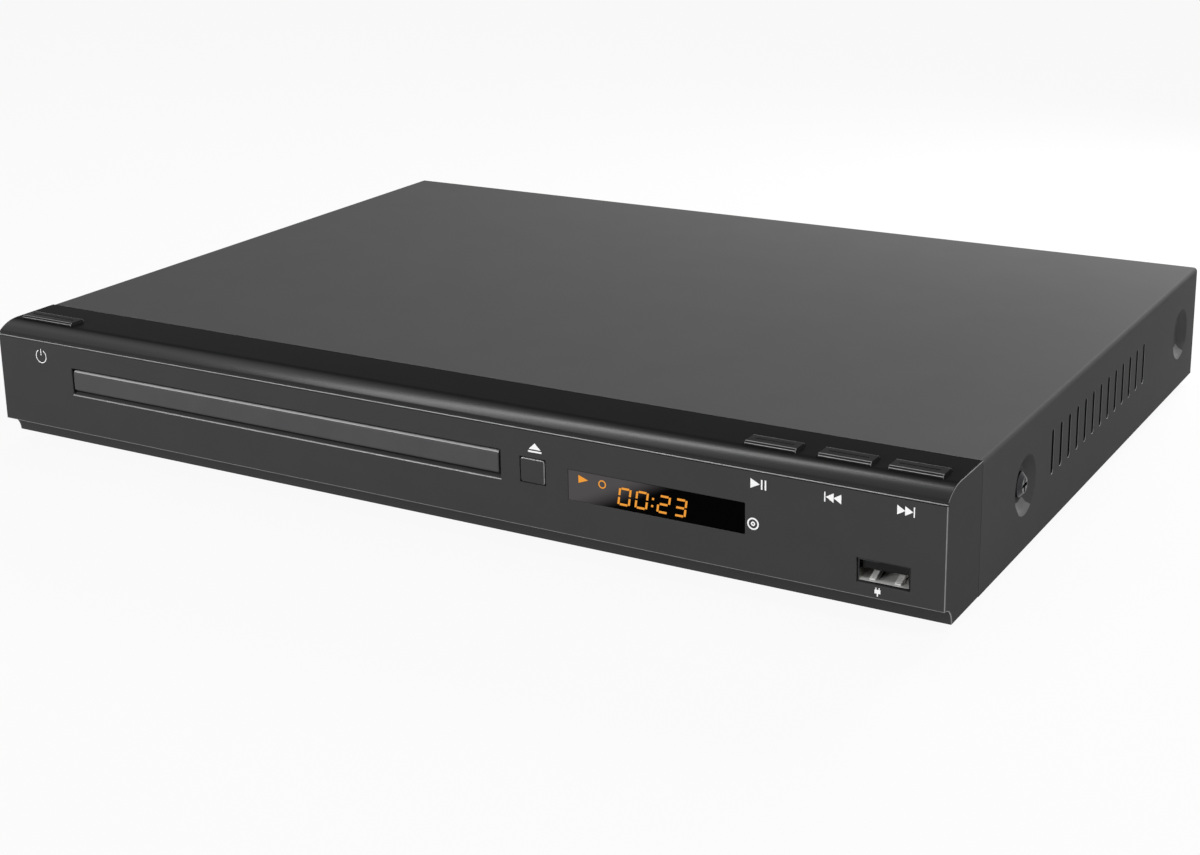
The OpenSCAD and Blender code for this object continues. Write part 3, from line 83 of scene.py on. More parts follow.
# colours: two close shades; patch and grain: size in mm of the shade's patches and of the relief;
# depth: height of the relief in mm; stretch: finer along that axis; blocky: square patches;
# dulled: heights in mm between which the sheen fades out
finishes = {
    "panelAbs": {            # moulded ABS with fine spark-eroded grain: even satin
        "colours": ("#3a3a3a", "#3b3b3b"), "patch": 9.0, "roughness": 0.42, "specular": 0.008,
        "grain": 0.35, "depth": 0.004},
    "glossAbs": {            # polished ABS: nearly black, with a soft bright band on its rounding
        "colours": ("#151515", "#161616"), "patch": 9.0, "roughness": 0.24, "specular": 0.2,
        "grain": 2.5, "depth": 0.0003, "dulled": (34.0, 34.95)},
    "paintedEdgeHighlight": {          # painted highlight on moulded edges: paler and shinier than their faces
        "colours": ("#747474", "#7c7c7c"), "patch": 2.0, "roughness": 0.3, "specular": 0.4,
        "grain": 0.6, "depth": 0.002},
    "paintedDoorHighlight": {          # painted highlight on the door's upper edge: nearly white
        "colours": ("#a6a6a6", "#adadad"), "patch": 2.0, "roughness": 0.3, "specular": 0.4,
        "grain": 0.6, "depth": 0.002},
    "keyAbs": {              # moulded ABS keys, satin
        "colours": ("#222222", "#242424"), "patch": 4.0, "roughness": 0.34, "specular": 0.004,
        "grain": 0.3, "depth": 0.002},
    "doorAbs": {             # painted ABS door: lighter grey satin
        "colours": ("#484748", "#4a494a"), "patch": 8.0, "roughness": 0.36, "specular": 0.02,
        "grain": 0.4, "depth": 0.002},
    "powderCoat": {          # powder-coated steel: matt, with a slight orange peel
        "colours": ("#484848", "#494949"), "patch": 14.0, "roughness": 0.5, "specular": 0.002,
        "grain": 0.9, "depth": 0.003},
    "paintedCoatHighlight": {         # painted highlight on the coat's pressed edges: paler and shinier
        "colours": ("#868686", "#8e8e8e"), "patch": 2.0, "roughness": 0.3, "specular": 0.4,
        "grain": 0.9, "depth": 0.002},
    "paintedSlopeHighlight": {          # painted highlight on the coat, on the dimples' upward slopes and the vents' forward-facing lips: paler
        "colours": ("#6a6a6a", "#6f6f6f"), "patch": 3.0, "roughness": 0.4, "specular": 0.02,
        "grain": 0.9, "depth": 0.002},
    "paintedVentShade": {             # painted shade on the vents' cut walls and back-facing lips: near black
        "colours": ("#0b0b0b", "#0e0e0e"), "patch": 2.0, "roughness": 0.6, "specular": 0.05,
        "grain": 0.6, "depth": 0.003},
    "zincSheet": {           # galvanised sheet: grey metal with faint spangles
        "colours": ("#9a9c9e", "#a6a8aa"), "patch": 5.0, "roughness": 0.42, "metallic": 1.0,
        "grain": 3.0, "depth": 0.004},
    "nickelPlate": {         # bright nickel plate on steel
        "colours": ("#c4c2bd", "#cccac5"), "patch": 2.0, "roughness": 0.2, "metallic": 1.0,
        "grain": 1.0, "depth": 0.002},
    "blackNickel": {         # black nickel plate on the case's screws
        "colours": ("#343436", "#3a3a3c"), "patch": 1.5, "roughness": 0.26, "metallic": 1.0,
        "grain": 0.8, "depth": 0.002},
    "tinPlate": {            # matt tin plate on the USB socket's floor and springs
        "colours": ("#c6c6c4", "#cececc"), "patch": 1.0, "roughness": 0.4, "metallic": 0.2,
        "specular": 0.5, "grain": 0.5, "depth": 0.002},
    "zincScrew": {           # zinc-plated screws, duller than nickel
        "colours": ("#a8aab0", "#b0b2b8"), "patch": 1.5, "roughness": 0.34, "metallic": 1.0,
        "grain": 0.6, "depth": 0.003},
    "groundSteel": {         # ground steel rods: fine rings round the rod
        "colours": ("#b8babc", "#c0c2c4"), "patch": 1.2, "roughness": 0.22, "metallic": 1.0,
        "grain": 0.5, "depth": 0.002, "stretch": (1, 8, 1)},
    "drawnSteel": {          # drawn steel motor cans
        "colours": ("#9fa1a3", "#aaacae"), "patch": 3.0, "roughness": 0.36, "metallic": 1.0,
        "grain": 0.8, "depth": 0.003, "stretch": (1, 1, 6)},
    "turnedBrass": {         # turned brass pulley
        "colours": ("#c19a3c", "#c9a242"), "patch": 1.0, "roughness": 0.26, "metallic": 1.0,
        "grain": 0.4, "depth": 0.002},
    "castZinc": {            # die-cast alloy chassis: matt silver, slightly cloudy
        "colours": ("#7c7c80", "#848488"), "patch": 4.0, "roughness": 0.46, "metallic": 1.0,
        "grain": 0.7, "depth": 0.008},
    "loaderAbs": {           # moulded ABS of the loader, matt black
        "colours": ("#1d1d1d", "#212121"), "patch": 5.0, "roughness": 0.55, "specular": 0.2,
        "grain": 0.5, "depth": 0.008},
    "trayAbs": {             # moulded ABS tray, matt black with a fine grain
        "colours": ("#222222", "#262626"), "patch": 6.0, "roughness": 0.5, "specular": 0.2,
        "grain": 0.4, "depth": 0.008},
    "naturalAcetal": {       # natural acetal: milky, waxy
        "colours": ("#dcd8ca", "#e2ded2"), "patch": 3.0, "roughness": 0.36, "specular": 0.4,
        "grain": 0.8, "depth": 0.003},
    "mouldedRubber": {       # matt moulded rubber with dust-grey bloom
        "colours": ("#151515", "#1b1b1b"), "patch": 3.0, "roughness": 0.8, "specular": 0.2,
        "grain": 0.4, "depth": 0.01},
    "solderMask": {          # green solder mask over copper: glossy, lighter where tracks run
        "colours": ("#1f5a2d", "#2c7440"), "patch": 1.6, "roughness": 0.3, "specular": 0.4,
        "grain": 1.2, "depth": 0.01, "blocky": True},
    "chipEpoxy": {           # moulded epoxy chips
        "colours": ("#181818", "#1e1e1e"), "patch": 2.0, "roughness": 0.6, "specular": 0.2,
        "grain": 0.25, "depth": 0.004},
    "shrunkSleeve": {        # shrunk PVC sleeve on the capacitors
        "colours": ("#1c2846", "#222f50"), "patch": 4.0, "roughness": 0.32, "specular": 0.45,
        "grain": 1.5, "depth": 0.003},
    "woundTape": {           # yellow polyester tape wound on the transformer
        "colours": ("#bd9a3c", "#cba948"), "patch": 3.0, "roughness": 0.45, "specular": 0.4,
        "grain": 0.9, "depth": 0.006, "stretch": (1, 1, 5)},
    "socketPbt": {           # black moulded PBT inside sockets
        "colours": ("#0c0c0c", "#101010"), "patch": 2.0, "roughness": 0.5, "specular": 0.1,
        "grain": 0.5, "depth": 0.003},
    "clearLens": {           # polished coated lens: bluish
        "colours": ("#5f86b0", "#6f95bd"), "patch": 1.0, "roughness": 0.05, "specular": 0.6,
        "grain": 1.0, "depth": 0.0002},
    "whitePrint": {          # white pad-printing ink, slightly matt
        "colours": ("#e4e4e4", "#eaeaea"), "patch": 0.6, "roughness": 0.55, "specular": 0.1,
        "grain": 0.15, "depth": 0.001},
    "yellowPbt": {           # yellow collar of the video jack
        "colours": ("#d8a81e", "#ddae26"), "patch": 2.0, "roughness": 0.4, "specular": 0.4,
        "grain": 0.5, "depth": 0.003},
    "whitePbt": {            # white collar of the left audio jack
        "colours": ("#d8d8d4", "#deded9"), "patch": 2.0, "roughness": 0.4, "specular": 0.4,
        "grain": 0.5, "depth": 0.003},
    "redPbt": {              # red collar of the right audio jack
        "colours": ("#a81c1c", "#b02222"), "patch": 2.0, "roughness": 0.4, "specular": 0.4,
        "grain": 0.5, "depth": 0.003},
}

# the same for every finish: where the two shades lie on the ramp, the noises' detail, the bump's
# strength, and the sheen of plain and of dulled plastic
texture = {"ramp": (0.35, 0.65), "patchDetail": 3.0, "grainDetail": 2.0, "bump": 0.6,
           "plainSpecular": 0.5, "dulledSpecular": 0.002}


def makeMaterial(name, finish):
    material = bpy.data.materials.new(name)
    material.use_nodes = True
    tree = material.node_tree
    surface = tree.nodes["Principled BSDF"]
    coords = addNode(tree, "ShaderNodeTexCoord").outputs["Object"]
    spread = addNode(tree, "ShaderNodeMapping", sockets={"Scale": finish.get("stretch", (1, 1, 1))},
                     links={"Vector": coords}).outputs["Vector"]
    if finish.get("blocky"):
        shade = addNode(tree, "ShaderNodeTexVoronoi", {"distance": "CHEBYCHEV"},
                        {"Scale": perMetre(finish["patch"])},
                        {"Vector": spread}).outputs["Distance"]
    else:
        shade = addNode(tree, "ShaderNodeTexNoise", None,
                        {"Scale": perMetre(finish["patch"]), "Detail": texture["patchDetail"]},
                        {"Vector": spread}).outputs["Fac"]
    ramp = addNode(tree, "ShaderNodeValToRGB", links={"Fac": shade})
    stops = zip(ramp.color_ramp.elements, texture["ramp"], finish["colours"])
    for stop, position, colour in stops:
        stop.position = position
        stop.color = linear(colour)
    tree.links.new(ramp.outputs["Color"], surface.inputs["Base Color"])
    relief = addNode(tree, "ShaderNodeTexNoise", None,
                     {"Scale": perMetre(finish["grain"]), "Detail": texture["grainDetail"]},
                     {"Vector": spread}).outputs["Fac"]
    bump = addNode(tree, "ShaderNodeBump", None,
                   {"Strength": texture["bump"], "Distance": finish["depth"] / 1000},
                   {"Height": relief})
    tree.links.new(bump.outputs["Normal"], surface.inputs["Normal"])
    surface.inputs["Roughness"].default_value = finish["roughness"]
    surface.inputs["Metallic"].default_value = finish.get("metallic", 0.0)
    specular = finish.get("specular", texture["plainSpecular"])
    surface.inputs["Specular IOR Level"].default_value = specular
    if "dulled" in finish:
        bright, dull = map(heightAt, finish["dulled"])
        height = addNode(tree, "ShaderNodeSeparateXYZ", links={"Vector": coords}).outputs["Z"]
        sheen = addNode(tree, "ShaderNodeMapRange", {"interpolation_type": "SMOOTHSTEP"},
                        {"From Min": bright, "From Max": dull, "To Min": specular,
                         "To Max": texture["dulledSpecular"]}, {"Value": height})
        tree.links.new(sheen.outputs[0], surface.inputs["Specular IOR Level"])
    return material


materials = {name: makeMaterial(name, finish) for name, finish in finishes.items()}

# smoked acrylic window: polished and near black, with a painted reflection: a lighter patch painted
# over its left end that fades out across a slanted line
# clear and dark: colours at the two ends, clear being the painted reflection's; from and to: where
# the fade's slanted middle line runs;
# fade: half its width
paintedReflection = {"clear": "#4a4748", "dark": "#030303", "from": (56.0, 14.8), "to": (73.0, 22.8),
         "fade": 7.0, "roughness": 0.08, "specular": 0.004}
materials["smokedAcrylicPaintedReflection"] = bpy.data.materials.new("smokedAcrylicPaintedReflection")
materials["smokedAcrylicPaintedReflection"].use_nodes = True
tree = materials["smokedAcrylicPaintedReflection"].node_tree
surface = tree.nodes["Principled BSDF"]
(lowX, lowZ), (highX, highZ) = paintedReflection["from"], paintedReflection["to"]
low, high = place(lowX, 0, lowZ), place(highX, 0, highZ)
slant = (high.x - low.x) / (high.z - low.z)
coords = addNode(tree, "ShaderNodeTexCoord").outputs["Object"]
position = addNode(tree, "ShaderNodeSeparateXYZ", links={"Vector": coords})
lean = addNode(tree, "ShaderNodeMath", {"operation": "MULTIPLY_ADD"},
               {1: -slant, 2: slant * low.z}, {0: position.outputs["Z"]})
across = addNode(tree, "ShaderNodeMath", {"operation": "ADD"}, None,
                 {0: position.outputs["X"], 1: lean.outputs[0]})
spread = paintedReflection["fade"] / 1000
fade = addNode(tree, "ShaderNodeMapRange", {"interpolation_type": "SMOOTHSTEP"},
               {"From Min": low.x - spread, "From Max": low.x + spread},
               {"Value": across.outputs[0]})
# inputs 6 and 7 of the mix are its two colours, and output 2 is the mixed one
tint = addNode(tree, "ShaderNodeMix", {"data_type": "RGBA"}, None, {0: fade.outputs[0]})
tint.inputs[6].default_value = linear(paintedReflection["clear"])
tint.inputs[7].default_value = linear(paintedReflection["dark"])
tree.links.new(tint.outputs[2], surface.inputs["Base Color"])
surface.inputs["Roughness"].default_value = paintedReflection["roughness"]
surface.inputs["Specular IOR Level"].default_value = paintedReflection["specular"]

# lit segments of the display: amber phosphor
phosphor = {"colour": "#f7a23a", "glow": 0.9, "unlit": "#201408", "specular": 0.05}
materials["amberPhosphor"] = bpy.data.materials.new("amberPhosphor")
materials["amberPhosphor"].use_nodes = True
surface = materials["amberPhosphor"].node_tree.nodes["Principled BSDF"]
surface.inputs["Base Color"].default_value = linear(phosphor["unlit"])
surface.inputs["Emission Color"].default_value = linear(phosphor["colour"])
surface.inputs["Emission Strength"].default_value = phosphor["glow"]
surface.inputs["Specular IOR Level"].default_value = phosphor["specular"]
print("materials made:", len(materials))

# the finish of each of the frame's nodes
nodeFinish = {
    "front_panel": "panelAbs", "eject_key": "keyAbs", "play_key": "keyAbs",
    "previous_key": "keyAbs", "next_key": "keyAbs", "power_key": "keyAbs",
    "tray_door": "doorAbs", "tray": "trayAbs",
    # the display window's finish carries a painted reflection at its left end
    "display_window": "smokedAcrylicPaintedReflection", "display_module": "chipEpoxy", "front_board": "solderMask",
    "key_board": "solderMask", "power_key_board": "solderMask", "usb_board": "solderMask",
    "main_board": "solderMask", "power_board": "solderMask", "front_switches": "chipEpoxy",
    "top_cover": "powderCoat", "rear_panel": "powderCoat", "bottom_pan": "zincSheet",
    "clamp_bridge": "zincSheet", "feet": "mouldedRubber", "side_screws": "blackNickel",
    "rear_screws": "blackNickel", "usb_socket": "nickelPlate", "hdmi_socket": "nickelPlate",
    "jack_barrels": "nickelPlate", "inlet_pins": "nickelPlate", "loader_screws": "zincScrew",
    "board_screws": "zincScrew", "loader_frame": "loaderAbs", "clamper": "loaderAbs",
    "tray_gear": "naturalAcetal", "pulley_gear": "naturalAcetal", "cam_slider": "naturalAcetal",
    "drive_belt": "mouldedRubber", "loading_motor": "drawnSteel", "spindle_motor": "drawnSteel",
    "sled_motor": "drawnSteel", "motor_shaft": "groundSteel", "spindle_shaft": "groundSteel",
    "guide_rods": "groundSteel", "lead_screw": "groundSteel", "motor_pulley": "turnedBrass",
    "traverse_frame": "castZinc", "turntable": "loaderAbs", "pickup_sled": "trayAbs",
    "objective_lens": "clearLens", "board_chips": "chipEpoxy", "board_capacitors": "shrunkSleeve",
    "power_capacitors": "shrunkSleeve", "power_transformer": "woundTape",
    "mains_inlet": "loaderAbs", "jack_housing": "loaderAbs",
}
for name, finish in nodeFinish.items():
    slots = nodes[name].data.materials
    slots.clear()
    slots.append(materials[finish])
print("nodes dressed")


# pieces made from the frame's own shapes, with their edges rounded; merge is in metres, and
# flat, roundFrom and sharp are angles in degrees
meshing = {"merge": 2e-6, "flat": 0.4, "roundFrom": 28, "sharp": 32}


def mergedCopy(node):
    shape = bmesh.new()
    shape.from_mesh(nodes[node].data)
    bmesh.ops.remove_doubles(shape, verts=shape.verts, dist=meshing["merge"])
    bmesh.ops.dissolve_limit(shape, angle_limit=math.radians(meshing["flat"]),
                             verts=shape.verts, edges=shape.edges)
    return shape


def roundEdges(shape, width, steps, wanted, look=0, clamp=True):
    least = math.radians(meshing["roundFrom"])
    edges = [e for e in shape.edges if len(e.link_faces) == 2
             and e.calc_face_angle(0) > least and wanted(e)]
    made = bmesh.ops.bevel(shape, geom=edges, offset=width / 1000, offset_type="OFFSET",
                           segments=steps, profile=0.5, affect="EDGES", clamp_overlap=clamp,
                           material=-1)
    for face in made["faces"]:
        face.material_index = look


def finishPiece(shape, name, body, looks, replaced=(), sharp=meshing["sharp"]):
    bmesh.ops.recalc_face_normals(shape, faces=shape.faces)
    for face in shape.faces:
        face.smooth = True
    mesh = bpy.data.meshes.new(name)
    shape.to_mesh(mesh)
    shape.free()
    mesh.set_sharp_from_angle(angle=math.radians(sharp))
    piece = bpy.data.objects.new(name, mesh)
    scene.collection.objects.link(piece)
    flatten = piece.modifiers.new("flatFacesStayFlat", "WEIGHTED_NORMAL")
    flatten.keep_sharp = True
    for look in looks:
        mesh.materials.append(materials[look])
    if replaced:
        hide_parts(*replaced)
    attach(piece, body)


def middleOf(edge):
    return (edge.verts[0].co + edge.verts[1].co) / 2


def lookOf(piece, name):
    return piece["looks"].index(name)


# front panel: satin below the groove, polished above it, with painted highlights on its rim edges,
# its rib and the slot lip's upward slopes
frontPanel = {"rounding": 0.22, "steps": 2, "band": (31.1, 32.15), "groove": 32.0, "cove": 5.3,
              "rib": (31.4, 31.78), "slotLip": (16.3, 17.6), "slotEnds": (-121.4, 28.8),
              "rimDepth": 0.9, "lipDepth": 0.25, "seam": 22.65, "end": 149.99, "brightEnd": 149.9,
              "facing": 0.1, "sloping": (0.1, 0.99), "endways": 0.9,
              "looks": ("panelAbs", "glossAbs", "paintedEdgeHighlight")}
shape = mergedCopy("front_panel")
gloss, highlighted = lookOf(frontPanel, "glossAbs"), lookOf(frontPanel, "paintedEdgeHighlight")
bandLow, bandHigh = map(heightAt, frontPanel["band"])
ribLow, ribHigh = map(heightAt, frontPanel["rib"])
lipLow, lipHigh = map(heightAt, frontPanel["slotLip"])
lipLeft, lipRight = map(acrossAt, frontPanel["slotEnds"])
rim, lipRim, seam = (depthAt(frontPanel[name]) for name in ("rimDepth", "lipDepth", "seam"))
cove, groove = heightAt(frontPanel["cove"]), heightAt(frontPanel["groove"])


def inBand(edge):
    return bandLow < middleOf(edge).z < bandHigh


def onEnd(edge):
    middle = middleOf(edge)
    return abs(middle.x) * 1000 > frontPanel["end"] and middle.y < seam and not inBand(edge)


def onFace(edge):
    return middleOf(edge).y < rim and not inBand(edge) and not onEnd(edge)


def aboveCove(edge):
    return onFace(edge) and middleOf(edge).z > cove


def belowCoveOrEnd(edge):
    return onEnd(edge) or (onFace(edge) and middleOf(edge).z < cove)


roundEdges(shape, frontPanel["rounding"], frontPanel["steps"], aboveCove)
# the rounding on the end profile and below the cove gets the painted highlight
roundEdges(shape, frontPanel["rounding"], frontPanel["steps"], belowCoveOrEnd, look=highlighted)
flattest, steepest = frontPanel["sloping"]
# the rib's forward faces and the slot lip's upward slopes get the painted highlight; the brow gets
# the gloss, and the ends keep their painted highlight
for face in shape.faces:
    centre = face.calc_center_median()
    onRib = ribLow < centre.z < ribHigh and centre.y < rim
    onLip = lipLow < centre.z < lipHigh and lipLeft < centre.x < lipRight and centre.y < lipRim
    if (onRib and -face.normal.y > frontPanel["facing"]) or (
            onLip and flattest < face.normal.z < steepest):
        face.material_index = highlighted
    elif centre.z > groove and abs(face.normal.x) < frontPanel["endways"] and centre.y < seam:
        onBrightEnd = abs(centre.x) * 1000 > frontPanel["brightEnd"]
        face.material_index = highlighted if face.material_index == highlighted and onBrightEnd else gloss
finishPiece(shape, "frontPanelShell", "case", frontPanel["looks"],
            ("front_panel",))

# top cover: painted highlights on the front edge and at the vents' lower ends, painted shade on the
# vents' cut walls and the back-facing sides of their lips, and a painted highlight on the
# forward-facing sides of the lips and on the screw dimples' lower, upward-facing slopes, a little
# paler
topCover = {"rounding": 0.25, "front": 23.2, "top": 34.9, "straight": 148.0,
            "vents": (75.0, 165.0), "ventHeights": (13.0, 26.3), "wall": (149.1, 149.9),
            "outside": 149.99, "ventLip": 0.12, "brightEnd": 14.6, "cutSquare": 0.3,
            "dimples": (9.0, 13.4), "upwards": 0.45, "sharp": 20,
            "looks": ("powderCoat", "paintedCoatHighlight", "paintedVentShade", "paintedSlopeHighlight")}
shape = mergedCopy("top_cover")
pressed, ventShade, highlighted = (lookOf(topCover, n) for n in ("paintedCoatHighlight", "paintedVentShade", "paintedSlopeHighlight"))
front, top = depthAt(topCover["front"]), heightAt(topCover["top"])
ventNear, ventFar = map(depthAt, topCover["vents"])
ventLow, ventHigh = map(heightAt, topCover["ventHeights"])
brightEnd = heightAt(topCover["brightEnd"])
dimpleLow, dimpleHigh = map(heightAt, topCover["dimples"])
wallInside, wallOutside = topCover["wall"]


def nearVents(point):
    return ventNear < point.y < ventFar and ventLow < point.z < ventHigh


def onVentRim(edge):
    reach = min(abs(v.co.x) for v in edge.verts) * 1000
    return nearVents(middleOf(edge)) and reach > topCover["outside"]


def onFrontEdge(edge):
    middle = middleOf(edge)
    return middle.y < front and middle.z > top and abs(middle.x) * 1000 < topCover["straight"]


# the rounding on the front edge and on the vents' rims gets the painted highlight
roundEdges(shape, topCover["rounding"], 1, onFrontEdge, look=pressed)
roundEdges(shape, topCover["ventLip"], 1, onVentRim, look=pressed, clamp=False)
for face in shape.faces:
    centre = face.calc_center_median()
    reach = abs(centre.x) * 1000
    inDimple = dimpleLow < centre.z < dimpleHigh and reach < topCover["outside"]
    # the vents' cut walls get the painted shade
    if (nearVents(centre) and wallInside < reach < wallOutside
            and abs(face.normal.x) < topCover["cutSquare"]):
        face.material_index = ventShade
    # along the vents' lips, back-facing faces get the painted shade and forward-facing ones a
    # painted highlight
    elif nearVents(centre) and face.material_index == pressed and centre.z > brightEnd:
        face.material_index = ventShade if face.normal.y > 0 else highlighted
    # the dimples' upward-facing slopes get a painted highlight
    elif inDimple and face.normal.z > topCover["upwards"]:
        face.material_index = highlighted
finishPiece(shape, "topCoverSheet", "case", topCover["looks"], ("top_cover",),
            sharp=topCover["sharp"])

# top keys: a painted highlight as a fine bright line round each crown
keys = {"rounding": 0.1, "steps": 2, "crown": 35.2, "line": 10.0, "outside": 1.2,
        "names": ("play_key", "previous_key", "next_key", "power_key"),
        "looks": ("keyAbs", "paintedEdgeHighlight")}
crown, keyLine = heightAt(keys["crown"]), depthAt(keys["line"])
highlighted = lookOf(keys, "paintedEdgeHighlight")


def onCrown(edge):
    high = max(v.co.z for v in edge.verts) > crown
    return high and abs(middleOf(edge).y - keyLine) * 1000 > keys["outside"]


for name in keys["names"]:
    shape = mergedCopy(name)
    roundEdges(shape, keys["rounding"], keys["steps"], onCrown, look=highlighted)
    finishPiece(shape, name.replace("_key", "KeyCap"), name, keys["looks"], (name,))

# open/close key: rounded corners, with a painted highlight along its upper and right edges
ejectKey = {"corners": 0.6, "cornerSteps": 3, "rounding": 0.28, "steps": 2, "flange": 2.6,
            "front": 0.1, "topEdge": 23.4, "rightEdge": 41.6, "endways": 0.9,
            "sloping": (0.2, 0.97), "looks": ("panelAbs", "paintedEdgeHighlight")}
shape = mergedCopy("eject_key")
highlighted = lookOf(ejectKey, "paintedEdgeHighlight")
flange, frontOfKey = depthAt(ejectKey["flange"]), depthAt(ejectKey["front"])
keyTop, keyRight = heightAt(ejectKey["topEdge"]), acrossAt(ejectKey["rightEdge"])


def onKeyCorner(edge):
    along = (edge.verts[0].co - edge.verts[1].co).normalized()
    return abs(along.y) > ejectKey["endways"] and max(v.co.y for v in edge.verts) < flange


def onKeyFront(edge):
    return max(v.co.y for v in edge.verts) < frontOfKey


roundEdges(shape, ejectKey["corners"], ejectKey["cornerSteps"], onKeyCorner)
roundEdges(shape, ejectKey["rounding"], ejectKey["steps"], onKeyFront)
flattest, steepest = ejectKey["sloping"]
# forward-facing faces on the upper and right edges get the painted highlight
for face in shape.faces:
    centre = face.calc_center_median()
    onEdge = centre.z > keyTop or centre.x > keyRight
    if onEdge and flattest < -face.normal.y < steepest:
        face.material_index = highlighted
finishPiece(shape, "ejectKeyCap", "eject_key", ejectKey["looks"],
            ("eject_key",))

# tray door: a painted highlight makes its upper edge the brightest line of the face
trayDoor = {"rounding": 0.3, "steps": 2, "front": 1.0, "top": 23.8, "sloping": (0.1, 0.99),
            "looks": ("doorAbs", "paintedDoorHighlight")}
shape = mergedCopy("tray_door")
bright = lookOf(trayDoor, "paintedDoorHighlight")
frontOfDoor, topOfDoor = depthAt(trayDoor["front"]), heightAt(trayDoor["top"])


def onDoorFront(edge):
    return min(v.co.y for v in edge.verts) < frontOfDoor


roundEdges(shape, trayDoor["rounding"], trayDoor["steps"], onDoorFront)
flattest, steepest = trayDoor["sloping"]
# the upper edge's forward faces get the painted highlight
for face in shape.faces:
    if face.calc_center_median().z > topOfDoor and flattest < -face.normal.y < steepest:
        face.material_index = bright
finishPiece(shape, "trayDoorFace", "tray", trayDoor["looks"], ("tray_door",))

# USB socket: a plated shell with a dark rim and a paler floor, round a black tongue
usbSocket = {"tongueX": (128.6, 140.6), "tongueZ": (11.6, 13.7), "tongueY": 1.7, "square": 0.9,
             "looks": ("nickelPlate", "socketPbt", "blackNickel", "tinPlate")}
shape = mergedCopy("usb_socket")
tongue, mouth, shellFloor = (lookOf(usbSocket, n) for n in ("socketPbt", "blackNickel", "tinPlate"))
lowX, highX = map(acrossAt, usbSocket["tongueX"])
lowZ, highZ = map(heightAt, usbSocket["tongueZ"])
tongueFront = depthAt(usbSocket["tongueY"])
for face in shape.faces:
    centre = face.calc_center_median()
    if lowX < centre.x < highX and lowZ < centre.z < highZ and centre.y > tongueFront:
        face.material_index = tongue
    elif centre.y < tongueFront and -face.normal.y > usbSocket["square"]:
        face.material_index = mouth
    elif face.normal.z > usbSocket["square"] and centre.z < lowZ:
        face.material_index = shellFloor
finishPiece(shape, "usbShell", "case", usbSocket["looks"], ("usb_socket",))
print("rounded pieces made")

# contact springs pressed up from the floor of the USB shell
springs = {"x": (131.4, 137.8), "width": 1.5, "y": (1.2, 4.4), "z": 9.05, "rise": 1.0,
           "sheet": 0.25}
shape = bmesh.new()
near, far = springs["y"]
halfway, thick = (near + far) / 2, springs["sheet"]
size = Vector((springs["width"], far - near, thick)) / 1000
for x in springs["x"]:
    middle = Matrix.Translation(place(x, halfway, springs["z"] + thick / 2))
    bmesh.ops.create_cube(shape, size=1, matrix=middle @ Matrix.Diagonal(size).to_4x4())
for vert in shape.verts:
    if vert.co.y > depthAt(halfway):
        vert.co.z += springs["rise"] / 1000
finishPiece(shape, "usbSprings", "case", ("tinPlate",))

# jack collars on the rear panel: yellow video, white and red audio
collars = {"plate": 220.2, "height": 0.6, "inner": 4.3, "outer": 5.3, "z": 16.5,
           "looks": {"yellowPbt": 71.0, "whitePbt": 84.0, "redPbt": 97.0}, "steps": 40}
for look, x in collars["looks"].items():
    shape = bmesh.new()
    inner, outer = collars["inner"] / 1000, collars["outer"] / 1000
    size = Vector((outer - inner, collars["height"] / 1000, 1))
    middle = place(x, collars["plate"] + collars["height"] / 2, collars["z"])
    across = middle + Vector(((inner + outer) / 2, 0, 0))
    bmesh.ops.create_grid(shape, x_segments=1, y_segments=1, size=0.5,
                          matrix=Matrix.Translation(across) @ Matrix.Diagonal(size).to_4x4())
    bmesh.ops.spin(shape, geom=shape.faces[:] + shape.edges[:] + shape.verts[:], cent=middle,
                   axis=(0, 1, 0), angle=2 * math.pi, steps=collars["steps"], use_merge=True)
    finishPiece(shape, look.replace("Pbt", "JackCollar"), "case", (look,))
print("jack collars made")


# print on the face: each mark is made of bars, wedges and rings, a hair thick; ink gives the
# depths of its front and back
rings = {"steps": 32}


def addBar(shape, x, z, width, height, ink):
    size = Vector((width, ink[1] - ink[0], height)) / 1000
    middle = place(x, (ink[0] + ink[1]) / 2, z)
    bmesh.ops.create_cube(shape, size=1, matrix=Matrix.Translation(middle)
                          @ Matrix.Diagonal(size).to_4x4())


def addWedge(shape, x, z, along, wide, turn, ink):
    # a flat triangle pointing up, turned about its middle; a cone's triangle is 1.5 radii high,
    # the square root of 3 radii wide, and reaches a quarter of a radius too far up
    size = Vector((wide / math.sqrt(3), along / 1.5, ink[1] - ink[0])) / 1000
    middle = place(x, (ink[0] + ink[1]) / 2, z)
    stand = Matrix.Rotation(math.radians(turn), 4, "Y") @ Matrix.Rotation(math.pi / 2, 4, "X")
    inner = Matrix.Diagonal(size).to_4x4() @ Matrix.Translation((0, -0.25, 0))
    bmesh.ops.create_cone(shape, cap_ends=True, segments=3, radius1=1, radius2=1, depth=1,
                          matrix=Matrix.Translation(middle) @ stand @ inner)


